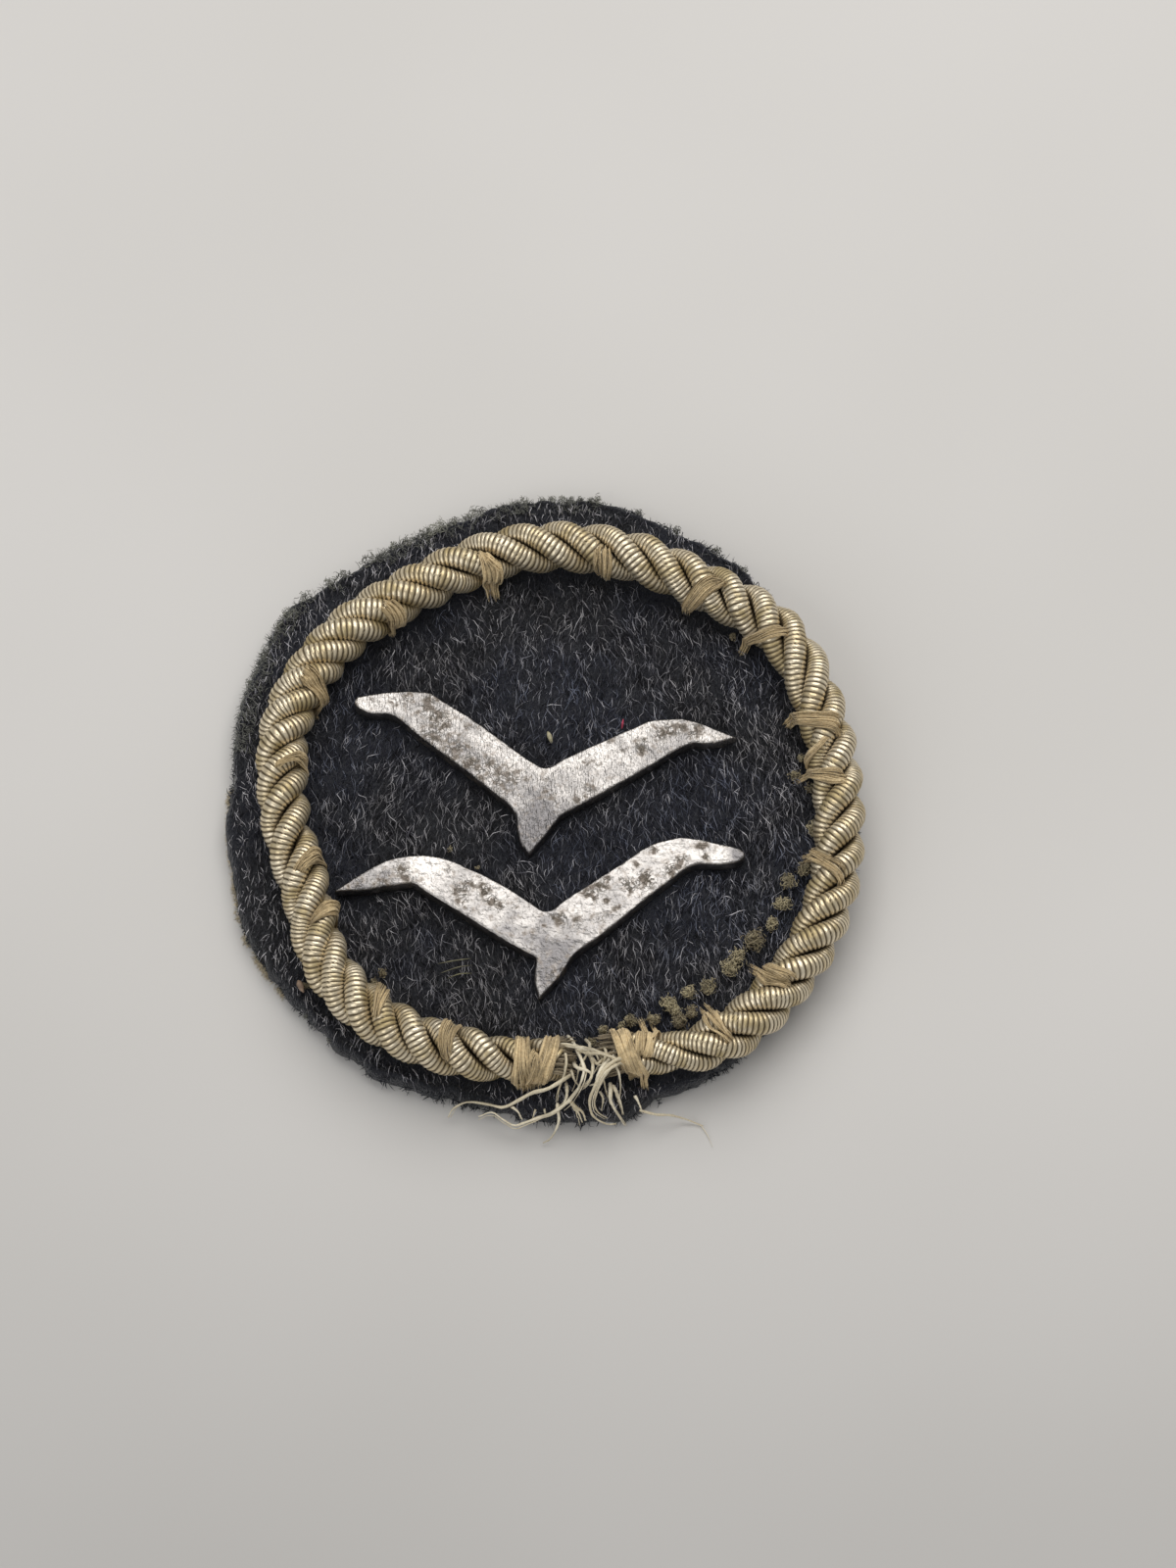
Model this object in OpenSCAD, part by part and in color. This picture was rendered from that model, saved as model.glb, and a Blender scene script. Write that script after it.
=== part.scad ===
// A round cloth insignia: a hand-cut felt ground, a twisted three-strand wire cord
// sewn round it in a ring, and two metal gulls one above the other.
// The back lies on z = 0, +Z comes out of the face, +Y is the top of the design.

/* [Felt] */
// Thickness of the felt ground
felt_t = 1.8; // [1.4:0.1:2.4]

/* [Cord] */
// Diameter over the three twisted strands
cord_d = 3.7; // [3.5:0.05:3.75]
// Share of that diameter left where a whipping pinches the cord
pinch_share = 0.82; // [0.8:0.01:0.9]

/* [Gulls] */
// Thickness of a gull's plate
plate_t = 1.1; // [0.9:0.1:1.4]
// Width of the worn round along the upper edges of a gull
edge_round = 0.3; // [0.15:0.05:0.35]
// Width of a fastening prong
prong_w = 1.4; // [1:0.1:1.6]
// Thickness of a fastening prong
prong_t = 0.3; // [0.25:0.05:0.4]
// Length of the stretch of a prong that is bent over behind the felt
prong_l = 3; // [2:0.5:4]

/* [Whippings] */
// Thickness of the thread wound over a cord end
whip_t = 0.35; // [0.25:0.05:0.45]
// Width of the left whipping, along the cord
whip_left_w = 3; // [2.4:0.1:3.2]
// Width of the right whipping, along the cord
whip_right_w = 2.4; // [2:0.1:3]

/* [Clearance] */
// Gap between two pieces that lie on each other
gap = 0.05; // [0.02:0.01:0.1]

/* [Hidden] */

// Middle of the cord ring
ring_centre = [1.2, -1.03];

// From the ring's middle to the middle of the cord, every 20 degrees from +X
ring_r = [19.2, 19.4, 20.1, 19.5, 19.8, 19.9, 19.5, 20.1, 20.3,
    19.4, 18.9, 20.3, 20.2, 19.3, 18.8, 20.6, 20.4, 19.8];

// From the ring's middle to the cut edge of the felt, every 10 degrees from +X
felt_r = [20.5, 20.4, 20.4, 20.7, 21.4, 22.5, 23.2, 23.6, 24.4,
    24.6, 24.6, 24.4, 24.5, 24.5, 25.1, 24.6, 24.1, 23.5,
    23.4, 23.3, 23.7, 23.3, 23.1, 23.0, 22.9, 22.2, 22.2,
    22.5, 22.6, 21.8, 21.6, 21.2, 20.7, 20.4, 20.4, 20.5];

// Strands crossed along the top of the cord, every 20 degrees from 280 degrees
crossed = [-0.3, 1.8, 4.4, 7.0, 9.5, 11.9, 14.0, 16.5, 18.8, 21.2,
    23.7, 26.5, 29.6, 32.6, 35.0, 37.6, 40.5, 43.2, 45.9];
cord_start = 283.5;
cord_end = 629.5;

// A strand's own radius, and how far its middle lies from the middle of the cord
strand_r = 0.193 * cord_d;
lay_r = cord_d / 2 - strand_r;
// Ring of points on a strand, and the angle between one ring and the next
strand_sides = 8;
strand_step = 2;
// Angle that a whipping covers, and over which the cord then swells to its full size
whip_angle = 9;
swell_angle = 9;
// Room between the pinched cord and the thread over it
whip_room = 0.16;

// Sections across a gull from its left tip to its right tip, counted from the notch between
// the wings with the wings level: x and y on the front edge, x and y on the tail edge.
gull_upper_rows = [
    [-13.9, 3.9, -13.9, 3.9], [-13.7, 4.3, -13.6, 3.5], [-12.6, 4.6, -12.7, 3.1],
    [-11.3, 4.9, -11.3, 3.2], [-9.9, 5.1, -10.6, 2.9], [-8.6, 5.1, -9.3, 1.9],
    [-7.0, 4.2, -7.8, 0.9], [-5.4, 3.3, -6.3, -0.1], [-4.0, 2.4, -4.9, -1.0],
    [-2.5, 1.4, -3.5, -2.0], [-1.2, 0.6, -2.4, -2.8], [-0.7, 0.3, -1.7, -3.6],
    [-0.3, 0.1, -1.4, -5.1], [0.1, 0.1, -0.5, -6.5], [0.5, 0.3, 0.5, -5.0],
    [1.1, 0.8, 1.4, -3.4], [2.3, 1.6, 3.1, -2.2], [3.9, 2.6, 4.7, -1.0],
    [5.4, 3.5, 6.3, 0.2], [7.0, 4.4, 7.7, 1.3], [8.4, 4.7, 8.9, 2.3],
    [9.7, 4.7, 10.0, 3.0], [11.2, 4.3, 11.5, 3.1], [13.1, 3.7, 13.1, 3.7]];
gull_lower_rows = [
    [-14.5, 3.0, -14.5, 3.0], [-12.7, 4.1, -12.4, 2.9], [-11.2, 4.8, -11.0, 3.0],
    [-9.9, 5.1, -9.1, 3.1], [-8.5, 5.1, -8.2, 2.3], [-7.3, 4.9, -7.3, 1.6],
    [-6.1, 4.4, -6.1, 0.6], [-5.0, 3.7, -4.9, -0.4], [-3.9, 3.0, -3.8, -1.3],
    [-2.7, 2.1, -2.5, -2.3], [-1.5, 1.1, -1.1, -3.3], [-0.8, 0.5, -1.4, -4.9],
    [-0.3, 0.1, -1.2, -6.3], [0.3, 0.1, 0.4, -4.8], [0.9, 0.5, 1.5, -3.4],
    [1.8, 1.1, 3.2, -2.3], [3.1, 1.8, 4.6, -1.3], [4.5, 2.6, 6.2, -0.2],
    [5.6, 3.2, 7.6, 0.8], [6.9, 4.0, 8.8, 1.6], [8.2, 4.5, 9.8, 2.3],
    [9.6, 4.7, 10.8, 2.6], [11.0, 4.4, 12.1, 2.4], [12.4, 3.9, 13.4, 2.4],
    [13.7, 3.5, 14.0, 2.7], [14.1, 3.1, 14.1, 3.1]];
gull_upper_place = [-1.2, 3.0];
gull_upper_tilt = -5.4;
gull_lower_place = [-1.0, -7.8];
gull_lower_tilt = 5.6;
// Where the prongs leave a plate, in the same measure as the outlines
prong_places = [[-5.4, 1.2], [4.6, 1.2]];

function unit(v) = v / norm(v);
function eased(x) = let (y = min(1, max(0, x))) y * y * (3 - 2 * y);

// Smooth value at share t between b and c, with a before them and d after them
function between(a, b, c, d, t) =
    b + t * (c - a) / 2 + t * t * (a - 2.5 * b + 2 * c - d / 2)
    + t * t * t * (1.5 * (b - c) + (d - a) / 2);

// Smooth value of a table that runs once round the ring in equal steps
function around(table, angle) =
    let (n = len(table), u = (angle % 360) * n / 360, i = floor(u))
    between(table[(i + n - 1) % n], table[i % n], table[(i + 1) % n], table[(i + 2) % n], u - i);

function crossed_at(angle) =
    let (u = (angle - 280) / 20, i = floor(u), last = len(crossed) - 1)
    between(crossed[max(0, i - 1)], crossed[i], crossed[min(last, i + 1)],
        crossed[min(last, i + 2)], u - i);

// The cord, which is pinched at both ends and lies on the felt all the way
function pinch(angle) =
    let (inside = min(angle - cord_start, cord_end - angle) - whip_angle)
    pinch_share + (1 - pinch_share) * eased(inside / swell_angle);
function cord_point(angle) =
    let (r = around(ring_r, angle))
    [ring_centre.x + r * cos(angle), ring_centre.y + r * sin(angle),
        felt_t + gap + cord_d / 2 * pinch(angle)];
function cord_heading(angle) =
    let (d = cord_point(angle + 1) - cord_point(angle - 1)) atan2(d.y, d.x);

// The direction from the cord's middle to a strand, and the strand's own middle
function strand_side(k, angle) =
    let (w = 90 - 120 * (crossed_at(angle) - 0.5 - k))
    [cos(w) * cos(angle), cos(w) * sin(angle), sin(w)];
function strand_point(k, angle) =
    cord_point(angle) + lay_r * pinch(angle) * strand_side(k, angle);

function strand_ring(k, angle) =
    let (along = unit(strand_point(k, angle + 0.5) - strand_point(k, angle - 0.5)),
        outward = [cos(angle), sin(angle), 0],
        across = unit(outward - (outward * along) * along),
        third = cross(along, across),
        r = strand_r * pinch(angle))
    [for (j = [0 : strand_sides - 1])
        let (f = 360 * (j + 0.5) / strand_sides)
        strand_point(k, angle) + r * (cos(f) * across + sin(f) * third)];

// A solid through rings of points, closed at both ends with the faces of a cap
module tube(rings, cap) {
    n = len(rings[0]);
    last = len(rings) - 1;
    polyhedron(
        points = [for (ring = rings) each ring],
        faces = concat(
            cap,
            [for (face = cap) [for (j = [len(face) - 1 : -1 : 0]) last * n + face[j]]],
            [for (i = [0 : last - 1], j = [0 : n - 1])
                [i * n + j, (i + 1) * n + j, (i + 1) * n + (j + 1) % n]],
            [for (i = [0 : last - 1], j = [0 : n - 1])
                [i * n + j, (i + 1) * n + (j + 1) % n, i * n + (j + 1) % n]]));
}

module strand(k) {
    tube([for (angle = [cord_start : strand_step : cord_end]) strand_ring(k, angle)],
        cap = [[for (j = [0 : strand_sides - 1]) j]]);
}

// The outline through a gull's sections: out along the front edge, back along the tail edge
function outline(rows) = concat(
    [for (row = rows) [row[0], row[1]]],
    [for (i = [len(rows) - 2 : -1 : 1]) [rows[i][2], rows[i][3]]]);

// Triangles from section to section, which close such an outline
function strip(rows) = let (last = len(rows) - 1) concat(
    [for (i = [1 : last - 1]) [i, i + 1, 2 * last - i]],
    [for (i = [0 : last - 2]) [i + 1, 2 * last - i - 1, (2 * last - i) % (2 * last)]]);

// The same outline with every side drawn in by d
function drawn_in(points, d) = let (n = len(points)) [for (i = [0 : n - 1])
    let (way = unit(points[i] - points[(i + n - 1) % n])
        + unit(points[(i + 1) % n] - points[i]))
    points[i] + 2 * d / (way * way) * [way.y, -way.x]];
function raised(points, z) = [for (p = points) [p.x, p.y, z]];

// A prong that goes down through the felt and is bent over behind it, away from the middle
module prong(place) {
    way = place.x < 0 ? -1 : 1;
    translate([place.x - prong_t / 2, place.y - prong_w / 2, gap])
        cube([prong_t, prong_w, felt_t + plate_t / 2]);
    translate([place.x + (way < 0 ? -prong_l : 0), place.y - prong_w / 2, gap])
        cube([prong_l, prong_w, prong_t]);
}

// Room for that prong: a slit through the felt and a hollow behind it
module prong_room(place) {
    way = place.x < 0 ? -1 : 1;
    room = 2 * gap;
    translate([place.x - prong_t / 2 - room, place.y - prong_w / 2 - room, -1])
        cube([prong_t + 2 * room, prong_w + 2 * room, felt_t + 2]);
    translate([place.x + (way < 0 ? -prong_l - room : -room), place.y - prong_w / 2 - room, -1])
        cube([prong_l + 2 * room, prong_w + 2 * room, prong_t + gap + room + 1]);
}

module placed(place, tilt) {
    translate([ring_centre.x + place.x, ring_centre.y + place.y, 0]) rotate([0, 0, tilt])
        children();
}

// A gull's plate with worn upper edges, in one piece with its two prongs
module gull(rows) {
    foot = felt_t + gap;
    profile = [[edge_round, plate_t], [0.3 * edge_round, plate_t - 0.3 * edge_round],
        [0, plate_t - edge_round], [0, 0]];
    tube([for (p = profile) raised(drawn_in(outline(rows), p[0]), foot + p[1])],
        cap = strip(rows));
    for (place = prong_places) prong(place);
}

// Thread wound over a cord end: an arch that stands on the felt at both sides
module whipping(angle, width) {
    inner = cord_d / 2 * pinch_share + whip_room;
    outer = inner + whip_t;
    foot = felt_t + gap - cord_point(angle).z;
    translate(cord_point(angle)) rotate([90, 0, cord_heading(angle) - 90])
        linear_extrude(width, center = true) difference() {
            intersection() {
                circle(outer, $fn = 64);
                translate([-outer, foot]) square([2 * outer, 2 * outer]);
            }
            circle(inner, $fn = 64);
        }
}

module felt() {
    color("#33363d") difference() {
        linear_extrude(felt_t)
            polygon([for (angle = [0 : 5 : 355])
                ring_centre + around(felt_r, angle) * [cos(angle), sin(angle)]]);
        for (place = prong_places) {
            placed(gull_upper_place, gull_upper_tilt) prong_room(place);
            placed(gull_lower_place, gull_lower_tilt) prong_room(place);
        }
    }
}

module gull_upper() {
    color("#b9b6b2") placed(gull_upper_place, gull_upper_tilt) gull(gull_upper_rows);
}

module gull_lower() {
    color("#c1beb8") placed(gull_lower_place, gull_lower_tilt) gull(gull_lower_rows);
}

module strand_1() {
    color("#b3a581") strand(0);
}

module strand_2() {
    color("#bdae8a") strand(1);
}

module strand_3() {
    color("#a99b78") strand(2);
}

module whipping_left() {
    color("#a08a5a") whipping(cord_end - whip_angle / 2, whip_left_w);
}

module whipping_right() {
    color("#a08a5a") whipping(cord_start + whip_angle / 2, whip_right_w);
}

felt();
gull_upper();
gull_lower();
strand_1();
strand_2();
strand_3();
whipping_left();
whipping_right();
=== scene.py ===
import itertools
import math

import bpy
import numpy as np
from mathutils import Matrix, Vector
from mathutils.geometry import delaunay_2d_cdt


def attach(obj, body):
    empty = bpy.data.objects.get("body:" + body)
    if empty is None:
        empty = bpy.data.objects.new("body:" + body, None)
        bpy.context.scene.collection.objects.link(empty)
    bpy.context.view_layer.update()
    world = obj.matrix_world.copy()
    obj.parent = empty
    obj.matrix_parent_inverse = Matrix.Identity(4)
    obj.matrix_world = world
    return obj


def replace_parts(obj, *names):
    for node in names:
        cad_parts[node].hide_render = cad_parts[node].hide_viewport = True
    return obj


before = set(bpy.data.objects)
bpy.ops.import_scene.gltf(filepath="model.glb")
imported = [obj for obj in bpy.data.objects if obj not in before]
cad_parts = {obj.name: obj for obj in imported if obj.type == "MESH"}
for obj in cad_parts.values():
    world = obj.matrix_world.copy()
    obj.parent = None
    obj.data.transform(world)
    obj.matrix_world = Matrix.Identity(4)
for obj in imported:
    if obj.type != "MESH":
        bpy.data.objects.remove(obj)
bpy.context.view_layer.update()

# The view and the light. The patch lies on a table and is seen from a little in front of straight above.
# A wide soft lamp hangs above and behind it and throws soft shadows towards the viewer, a window lights it
# from the front left, and the rest is the even light of a pale room.
MM = 0.001
LOOK_AT = Vector((2.98, 1.24, 2.0)) * MM
VIEW_HEIGHT = math.radians(66)
VIEW_DISTANCE = 0.45
camera_data = bpy.data.cameras.new("camera")
camera_data.sensor_width = 36
camera_data.lens = 147.8
camera_data.clip_start = 0.01
camera = bpy.data.objects.new("camera", camera_data)
to_camera = Vector((0, -math.cos(VIEW_HEIGHT), math.sin(VIEW_HEIGHT)))
camera.location = LOOK_AT + to_camera * VIEW_DISTANCE
camera.rotation_euler = to_camera.to_track_quat("Z", "Y").to_euler()
bpy.context.collection.objects.link(camera)
bpy.context.scene.camera = camera
bpy.context.scene.view_settings.view_transform = "Standard"


def hang_lamp(name, place, size, watts, colour):
    """A square soft lamp at a place in metres that shines on the patch."""
    data = bpy.data.lights.new(name, "AREA")
    data.shape = "SQUARE"
    data.size = size
    data.energy = watts
    data.color = colour
    lamp = bpy.data.objects.new(name, data)
    lamp.location = place
    lamp.rotation_euler = Vector(place).to_track_quat("Z", "Y").to_euler()
    bpy.context.collection.objects.link(lamp)


hang_lamp("ceiling_lamp", (0.048, 0.175, 0.31), 0.37, 1.04, (1.0, 0.985, 0.965))
hang_lamp("window_light", (-0.34, -0.37, 0.4), 0.5, 1.2, (0.985, 0.99, 1.0))
room = bpy.data.worlds.new("pale_room")
room.use_nodes = True
room.node_tree.nodes["Background"].inputs["Color"].default_value = (0.985, 0.985, 0.985, 1)
room.node_tree.nodes["Background"].inputs["Strength"].default_value = 0.34
bpy.context.scene.world = room


# The table top. It is a plain pale board, painted a warm off-white, which the patch only lies on. Its tone
# is very faintly uneven, and painted shade makes it a little greyer towards the viewer, where the lamp's
# light falls off.
def add_node(tree, kind, inputs=None, **settings):
    """A shader node. An input that is given another node's socket is joined to it, any other is set."""
    node = tree.nodes.new("ShaderNode" + kind)
    for name, value in settings.items():
        setattr(node, name, value)
    for name, value in (inputs or {}).items():
        if isinstance(value, bpy.types.NodeSocket):
            tree.links.new(value, node.inputs[name])
        else:
            node.inputs[name].default_value = value
    return node


def blended(tree, share, first, second, how="MIX"):
    """The colour between two colours, of which each is a socket or (red, green, blue)."""
    node = add_node(tree, "Mix", data_type="RGBA", blend_type=how)
    for place, value in ((0, share), (6, first), (7, second)):
        if isinstance(value, bpy.types.NodeSocket):
            tree.links.new(value, node.inputs[place])
        elif place == 0:
            node.inputs[0].default_value = value
        else:
            node.inputs[place].default_value = (*value, 1)
    return node.outputs[2]


def stepped(tree, value, low, high, to_low=0.0, to_high=1.0):
    """A value that goes from to_low to to_high while the given one goes from low to high."""
    sockets = {"Value": value, "From Min": low, "From Max": high, "To Min": to_low, "To Max": to_high}
    return add_node(tree, "MapRange", sockets, interpolation_type="SMOOTHSTEP").outputs[0]


def combined(tree, how, first, second):
    """The sum, product or such of two values."""
    return add_node(tree, "Math", {0: first, 1: second}, operation=how).outputs[0]


def new_group(name, inputs, outputs):
    """An empty shader node group with its sockets, as (group, input node, output node)."""
    group = bpy.data.node_groups.new(name, "ShaderNodeTree")
    for socket, value in inputs.items():
        made = group.interface.new_socket(socket, in_out="INPUT", socket_type="NodeSocketFloat")
        made.default_value = value
    for socket in outputs:
        group.interface.new_socket(socket, in_out="OUTPUT", socket_type="NodeSocketFloat")
    return group, group.nodes.new("NodeGroupInput"), group.nodes.new("NodeGroupOutput")


soft_patches, patch_in, patch_out = new_group(
    "soft_patches", {"Size": 1.0, "Detail": 3.0, "Stretch": 1.0, "From": 0.35, "To": 0.65}, ["Tone"]
)
place = add_node(soft_patches, "TexCoord").outputs["Object"]
narrow = {"X": patch_in.outputs["Stretch"], "Y": 1.0, "Z": 1.0}
narrow = add_node(soft_patches, "CombineXYZ", narrow).outputs[0]
place = add_node(soft_patches, "VectorMath", {0: place, 1: narrow}, operation="MULTIPLY").outputs[0]
patch_scale = combined(soft_patches, "DIVIDE", 1000.0, patch_in.outputs["Size"])
patch_noise = add_node(
    soft_patches, "TexNoise", {"Vector": place, "Scale": patch_scale, "Detail": patch_in.outputs["Detail"]}
).outputs[0]
patch_tone = stepped(soft_patches, patch_noise, patch_in.outputs["From"], patch_in.outputs["To"])
soft_patches.links.new(patch_tone, patch_out.inputs["Tone"])


def patches(tree, size, detail=3.0, stretch=1.0, low=0.35, high=0.65):
    """Soft patches of about the given size in millimetres, as a value from 0 to 1."""
    values = {"Size": size, "Detail": detail, "Stretch": stretch, "From": low, "To": high}
    return add_node(tree, "Group", values, node_tree=soft_patches).outputs["Tone"]


def new_finish(name, **values):
    """A material, its node tree and its shader, with the shader's own values set."""
    material = bpy.data.materials.new(name)
    material.use_nodes = True
    shader = material.node_tree.nodes["Principled BSDF"]
    for socket, value in values.items():
        shader.inputs[socket.replace("_", " ")].default_value = value
    return material, material.node_tree, shader


def dress(tree, shader, colour, bump=None, roughness=None):
    """Gives a shader its colour, its bump as (height, strength, depth in millimetres), and its roughness."""
    tree.links.new(colour, shader.inputs["Base Color"])
    if bump is not None:
        height, strength, depth = bump
        node = add_node(tree, "Bump", {"Height": height, "Strength": strength, "Distance": depth * MM})
        tree.links.new(node.outputs[0], shader.inputs["Normal"])
    if roughness is not None:
        tree.links.new(roughness, shader.inputs["Roughness"])


TABLE_HALF = 2.0
# How far, how aslant and how strongly the painted shade darkens the table towards the viewer.
FALLOFF_FROM, FALLOFF_SLANT, FALLOFF_SHARE = -0.075, 0.08, 0.235
table_mesh = bpy.data.meshes.new("table_top")
table_corners = [(x * TABLE_HALF, y * TABLE_HALF, 0) for x, y in ((-1, -1), (1, -1), (1, 1), (-1, 1))]
table_mesh.from_pydata(table_corners, [], [(0, 1, 2, 3)])
table_top = bpy.data.objects.new("table_top", table_mesh)
bpy.context.collection.objects.link(table_top)
paint, tree, shader = new_finish("pale_table_paint", Roughness=0.62, Specular_IOR_Level=0.25)
paint_colour = blended(tree, patches(tree, 60.0, 2.0), (0.598, 0.582, 0.558), (0.626, 0.61, 0.588))
# Painted shade: the paint turns greyer towards the viewer, a little aslant, for the lamp's light falling off
# there.
spot = add_node(tree, "SeparateXYZ", {0: add_node(tree, "TexCoord").outputs["Object"]}).outputs
painted_falloff_shade = combined(tree, "ADD", spot["Y"], combined(tree, "MULTIPLY", spot["X"], FALLOFF_SLANT))
painted_falloff_shade = stepped(tree, painted_falloff_shade, FALLOFF_FROM, 0.0, FALLOFF_SHARE, 0.0)
dress(tree, shader, blended(tree, painted_falloff_shade, paint_colour, (0.0, 0.0, 0.0)))
table_mesh.materials.append(paint)


# The felt ground. It is one piece of thick dark blue-grey wool felt, cut nearly round by hand, so its edge
# is uneven and fuzzy. In its back it has a slit and a hollow for each prong of the gulls.
RING_CENTRE = np.array([1.2, -1.03])
FELT_THICK = 1.8
FELT_EDGE = [
    20.5, 20.4, 20.4, 20.7, 21.4, 22.5, 23.2, 23.6, 24.4, 24.6, 24.5, 24.1,
    24.1, 24.3, 25.0, 24.5, 24.0, 23.4, 23.3, 23.2, 23.6, 23.3, 23.1, 23.0,
    22.9, 22.2, 22.2, 22.5, 22.6, 21.8, 21.6, 21.2, 20.7, 20.4, 20.4, 20.5,
]


def through(a, b, c, d, t):
    """A smooth curve at the share t of its way from b to c, where a comes before them and d after."""
    return b + t * (c - a) / 2 + t * t * (a - 2.5 * b + 2 * c - d / 2) + t**3 * (1.5 * (b - c) + (d - a) / 2)


def around(table, degrees):
    """The smooth closed curve through values that lie evenly round the patch, from +X on."""
    step = np.asarray(degrees, float) / 360 * len(table)
    low = np.floor(step).astype(int)
    return through(*(np.take(table, (low + k) % len(table)) for k in (-1, 0, 1, 2)), step - low)


def lumps(points, size, seed):
    """Smooth random heights between -1 and 1 at points, whose lumps have the given size."""
    lattice = np.random.default_rng(seed).uniform(-1, 1, (32, 32, 32))
    low = np.floor(points / size).astype(int)
    part = points / size - low
    part = part * part * (3 - 2 * part)
    total = np.zeros(len(points))
    for corner in itertools.product((0, 1), repeat=3):
        weight = np.prod(np.where(corner, part, 1 - part), axis=1)
        total += weight * lattice[tuple(((low + corner) % 32).T)]
    return total


def on_ring(degrees, radius, height):
    """Points at angles and distances from the ring's middle, at the given heights."""
    turn = np.radians(degrees)
    flat = np.stack([radius * np.cos(turn), radius * np.sin(turn)], -1) + RING_CENTRE
    height = np.broadcast_to(np.asarray(height, float)[..., None], (*flat.shape[:-1], 1))
    return np.concatenate([flat, height], -1)


GULL_PLACES = {"gull_upper": (-1.2, 3.0, -5.4), "gull_lower": (-1.0, -7.8, 5.6)}
PRONG_PLACES = ((-5.4, 1.2), (4.6, 1.2))


def on_gull(node, spots):
    """Points given from a gull's own middle, as points on the patch."""
    x, y, tilt = GULL_PLACES[node]
    turn = math.radians(tilt)
    spots = np.array(spots, float)
    flat = spots[..., :2] @ [[math.cos(turn), math.sin(turn)], [-math.sin(turn), math.cos(turn)]]
    spots[..., :2] = flat + RING_CENTRE + (x, y)
    return spots


def joined(parts):
    """Several (points, faces) as one."""
    points, faces, start = [], {}, 0
    for part_points, part_faces in parts:
        for group in part_faces:
            group = np.asarray(group)
            faces.setdefault(group.shape[1], []).append(group + start)
        points.append(part_points)
        start += len(part_points)
    return np.concatenate(points), [np.concatenate(groups) for groups in faces.values()]


def extruded(node, root, profile, half):
    """A flat closed shape behind a gull, from a profile of (outwards from the root, height) corners."""
    way = math.copysign(1, root[0])
    rings = [
        [(root[0] + way * out, root[1] + side, height) for out, height in profile] for side in (-half, half)
    ]
    n = len(profile)
    index = np.arange(n)
    after = (index + 1) % n
    walls = np.stack([index, after, after + n, index + n], -1)
    faces = [walls, index[None, ::-1], index[None] + n]
    if way > 0:
        faces = [group[:, ::-1] for group in faces]
    return on_gull(node, np.concatenate(rings)), faces


def make_piece(name, points, faces, material, slot, **marks):
    """A mesh piece on the patch, from points in millimetres and arrays of faces with equally many corners.
    The marks are values at its points, which its material reads."""
    mesh = bpy.data.meshes.new(name)
    corners = np.concatenate([np.asarray(group).ravel() for group in faces]).astype(np.int32)
    sizes = np.concatenate([np.full(len(group), np.shape(group)[1]) for group in faces])
    mesh.vertices.add(len(points))
    mesh.vertices.foreach_set("co", (points * MM).astype(np.float32).ravel())
    mesh.loops.add(len(corners))
    mesh.loops.foreach_set("vertex_index", corners)
    mesh.polygons.add(len(sizes))
    mesh.polygons.foreach_set("loop_start", (np.cumsum(sizes) - sizes).astype(np.int32))
    mesh.update(calc_edges=True)
    mesh.validate()
    mesh.shade_smooth()
    for mark, values in marks.items():
        layer = mesh.attributes.new(mark, "FLOAT", "POINT")
        layer.data.foreach_set("value", np.asarray(values, np.float32).ravel())
    mesh.materials.append(material)
    piece = bpy.data.objects.new(name, mesh)
    bpy.context.collection.objects.link(piece)
    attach(piece, "root")
    return piece


EDGE_STEPS = 360
EDGE_PROFILE = [
    (-0.34, 1.78), (-0.16, 1.66), (-0.04, 1.42), (0.02, 1.05), (0.0, 0.7), (-0.02, 0.35), (-0.14, 0.1),
]
TOP_INSET, TOP_SUNK = 0.5, 0.17
top_shares = np.sqrt(np.linspace(0.0004, 1, 58))
back_shares = (0.975, *np.linspace(0.94, 0.06, 9))
edge_angles = np.arange(EDGE_STEPS) * 360 / EDGE_STEPS
edge_radius = around(FELT_EDGE, edge_angles)
edge_points = on_ring(edge_angles, edge_radius, 0)
edge_radius = edge_radius + 0.2 * lumps(edge_points, 1.3, 11) + 0.12 * lumps(edge_points, 0.45, 12)
rings = [((edge_radius - TOP_INSET) * share, FELT_THICK) for share in top_shares]
rings += [(edge_radius + aside, height) for aside, height in EDGE_PROFILE]
rings += [(edge_radius * share, 0) for share in back_shares]
felt_rings = np.array([on_ring(edge_angles, radius, height) for radius, height in rings])
tops = len(top_shares)
top_points = felt_rings[:tops].reshape(-1, 3)
relief = 0.1 * lumps(top_points, 3.1, 13) + 0.07 * lumps(top_points, 0.9, 14) - TOP_SUNK
felt_rings[:tops, :, 2] += relief.reshape(tops, EDGE_STEPS)
rims = slice(tops, tops + len(EDGE_PROFILE))
rim_points = felt_rings[rims].reshape(-1, 3)
rim_shift = 0.12 * lumps(rim_points, 0.5, 15) + 0.1 * lumps(rim_points, 1.1, 16)
outward = (felt_rings[rims] - [*RING_CENTRE, 0]) * [1, 1, 0]
outward /= np.linalg.norm(outward, axis=2, keepdims=True)
felt_rings[rims] += outward * rim_shift.reshape(len(EDGE_PROFILE), EDGE_STEPS, 1)
felt_points = felt_rings.reshape(-1, 3)
grid = np.arange(len(felt_points)).reshape(len(felt_rings), EDGE_STEPS)
turned = np.roll(grid, -1, axis=1)
felt_quads = np.stack([grid[:-1], grid[1:], turned[1:], turned[:-1]], -1).reshape(-1, 4)
middles = np.array([[*RING_CENTRE, FELT_THICK - TOP_SUNK], [*RING_CENTRE, 0.0]])
top_fan = np.stack([np.full(EDGE_STEPS, len(felt_points)), grid[0], turned[0]], -1)
back_fan = np.stack([np.full(EDGE_STEPS, len(felt_points) + 1), turned[-1], grid[-1]], -1)
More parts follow.
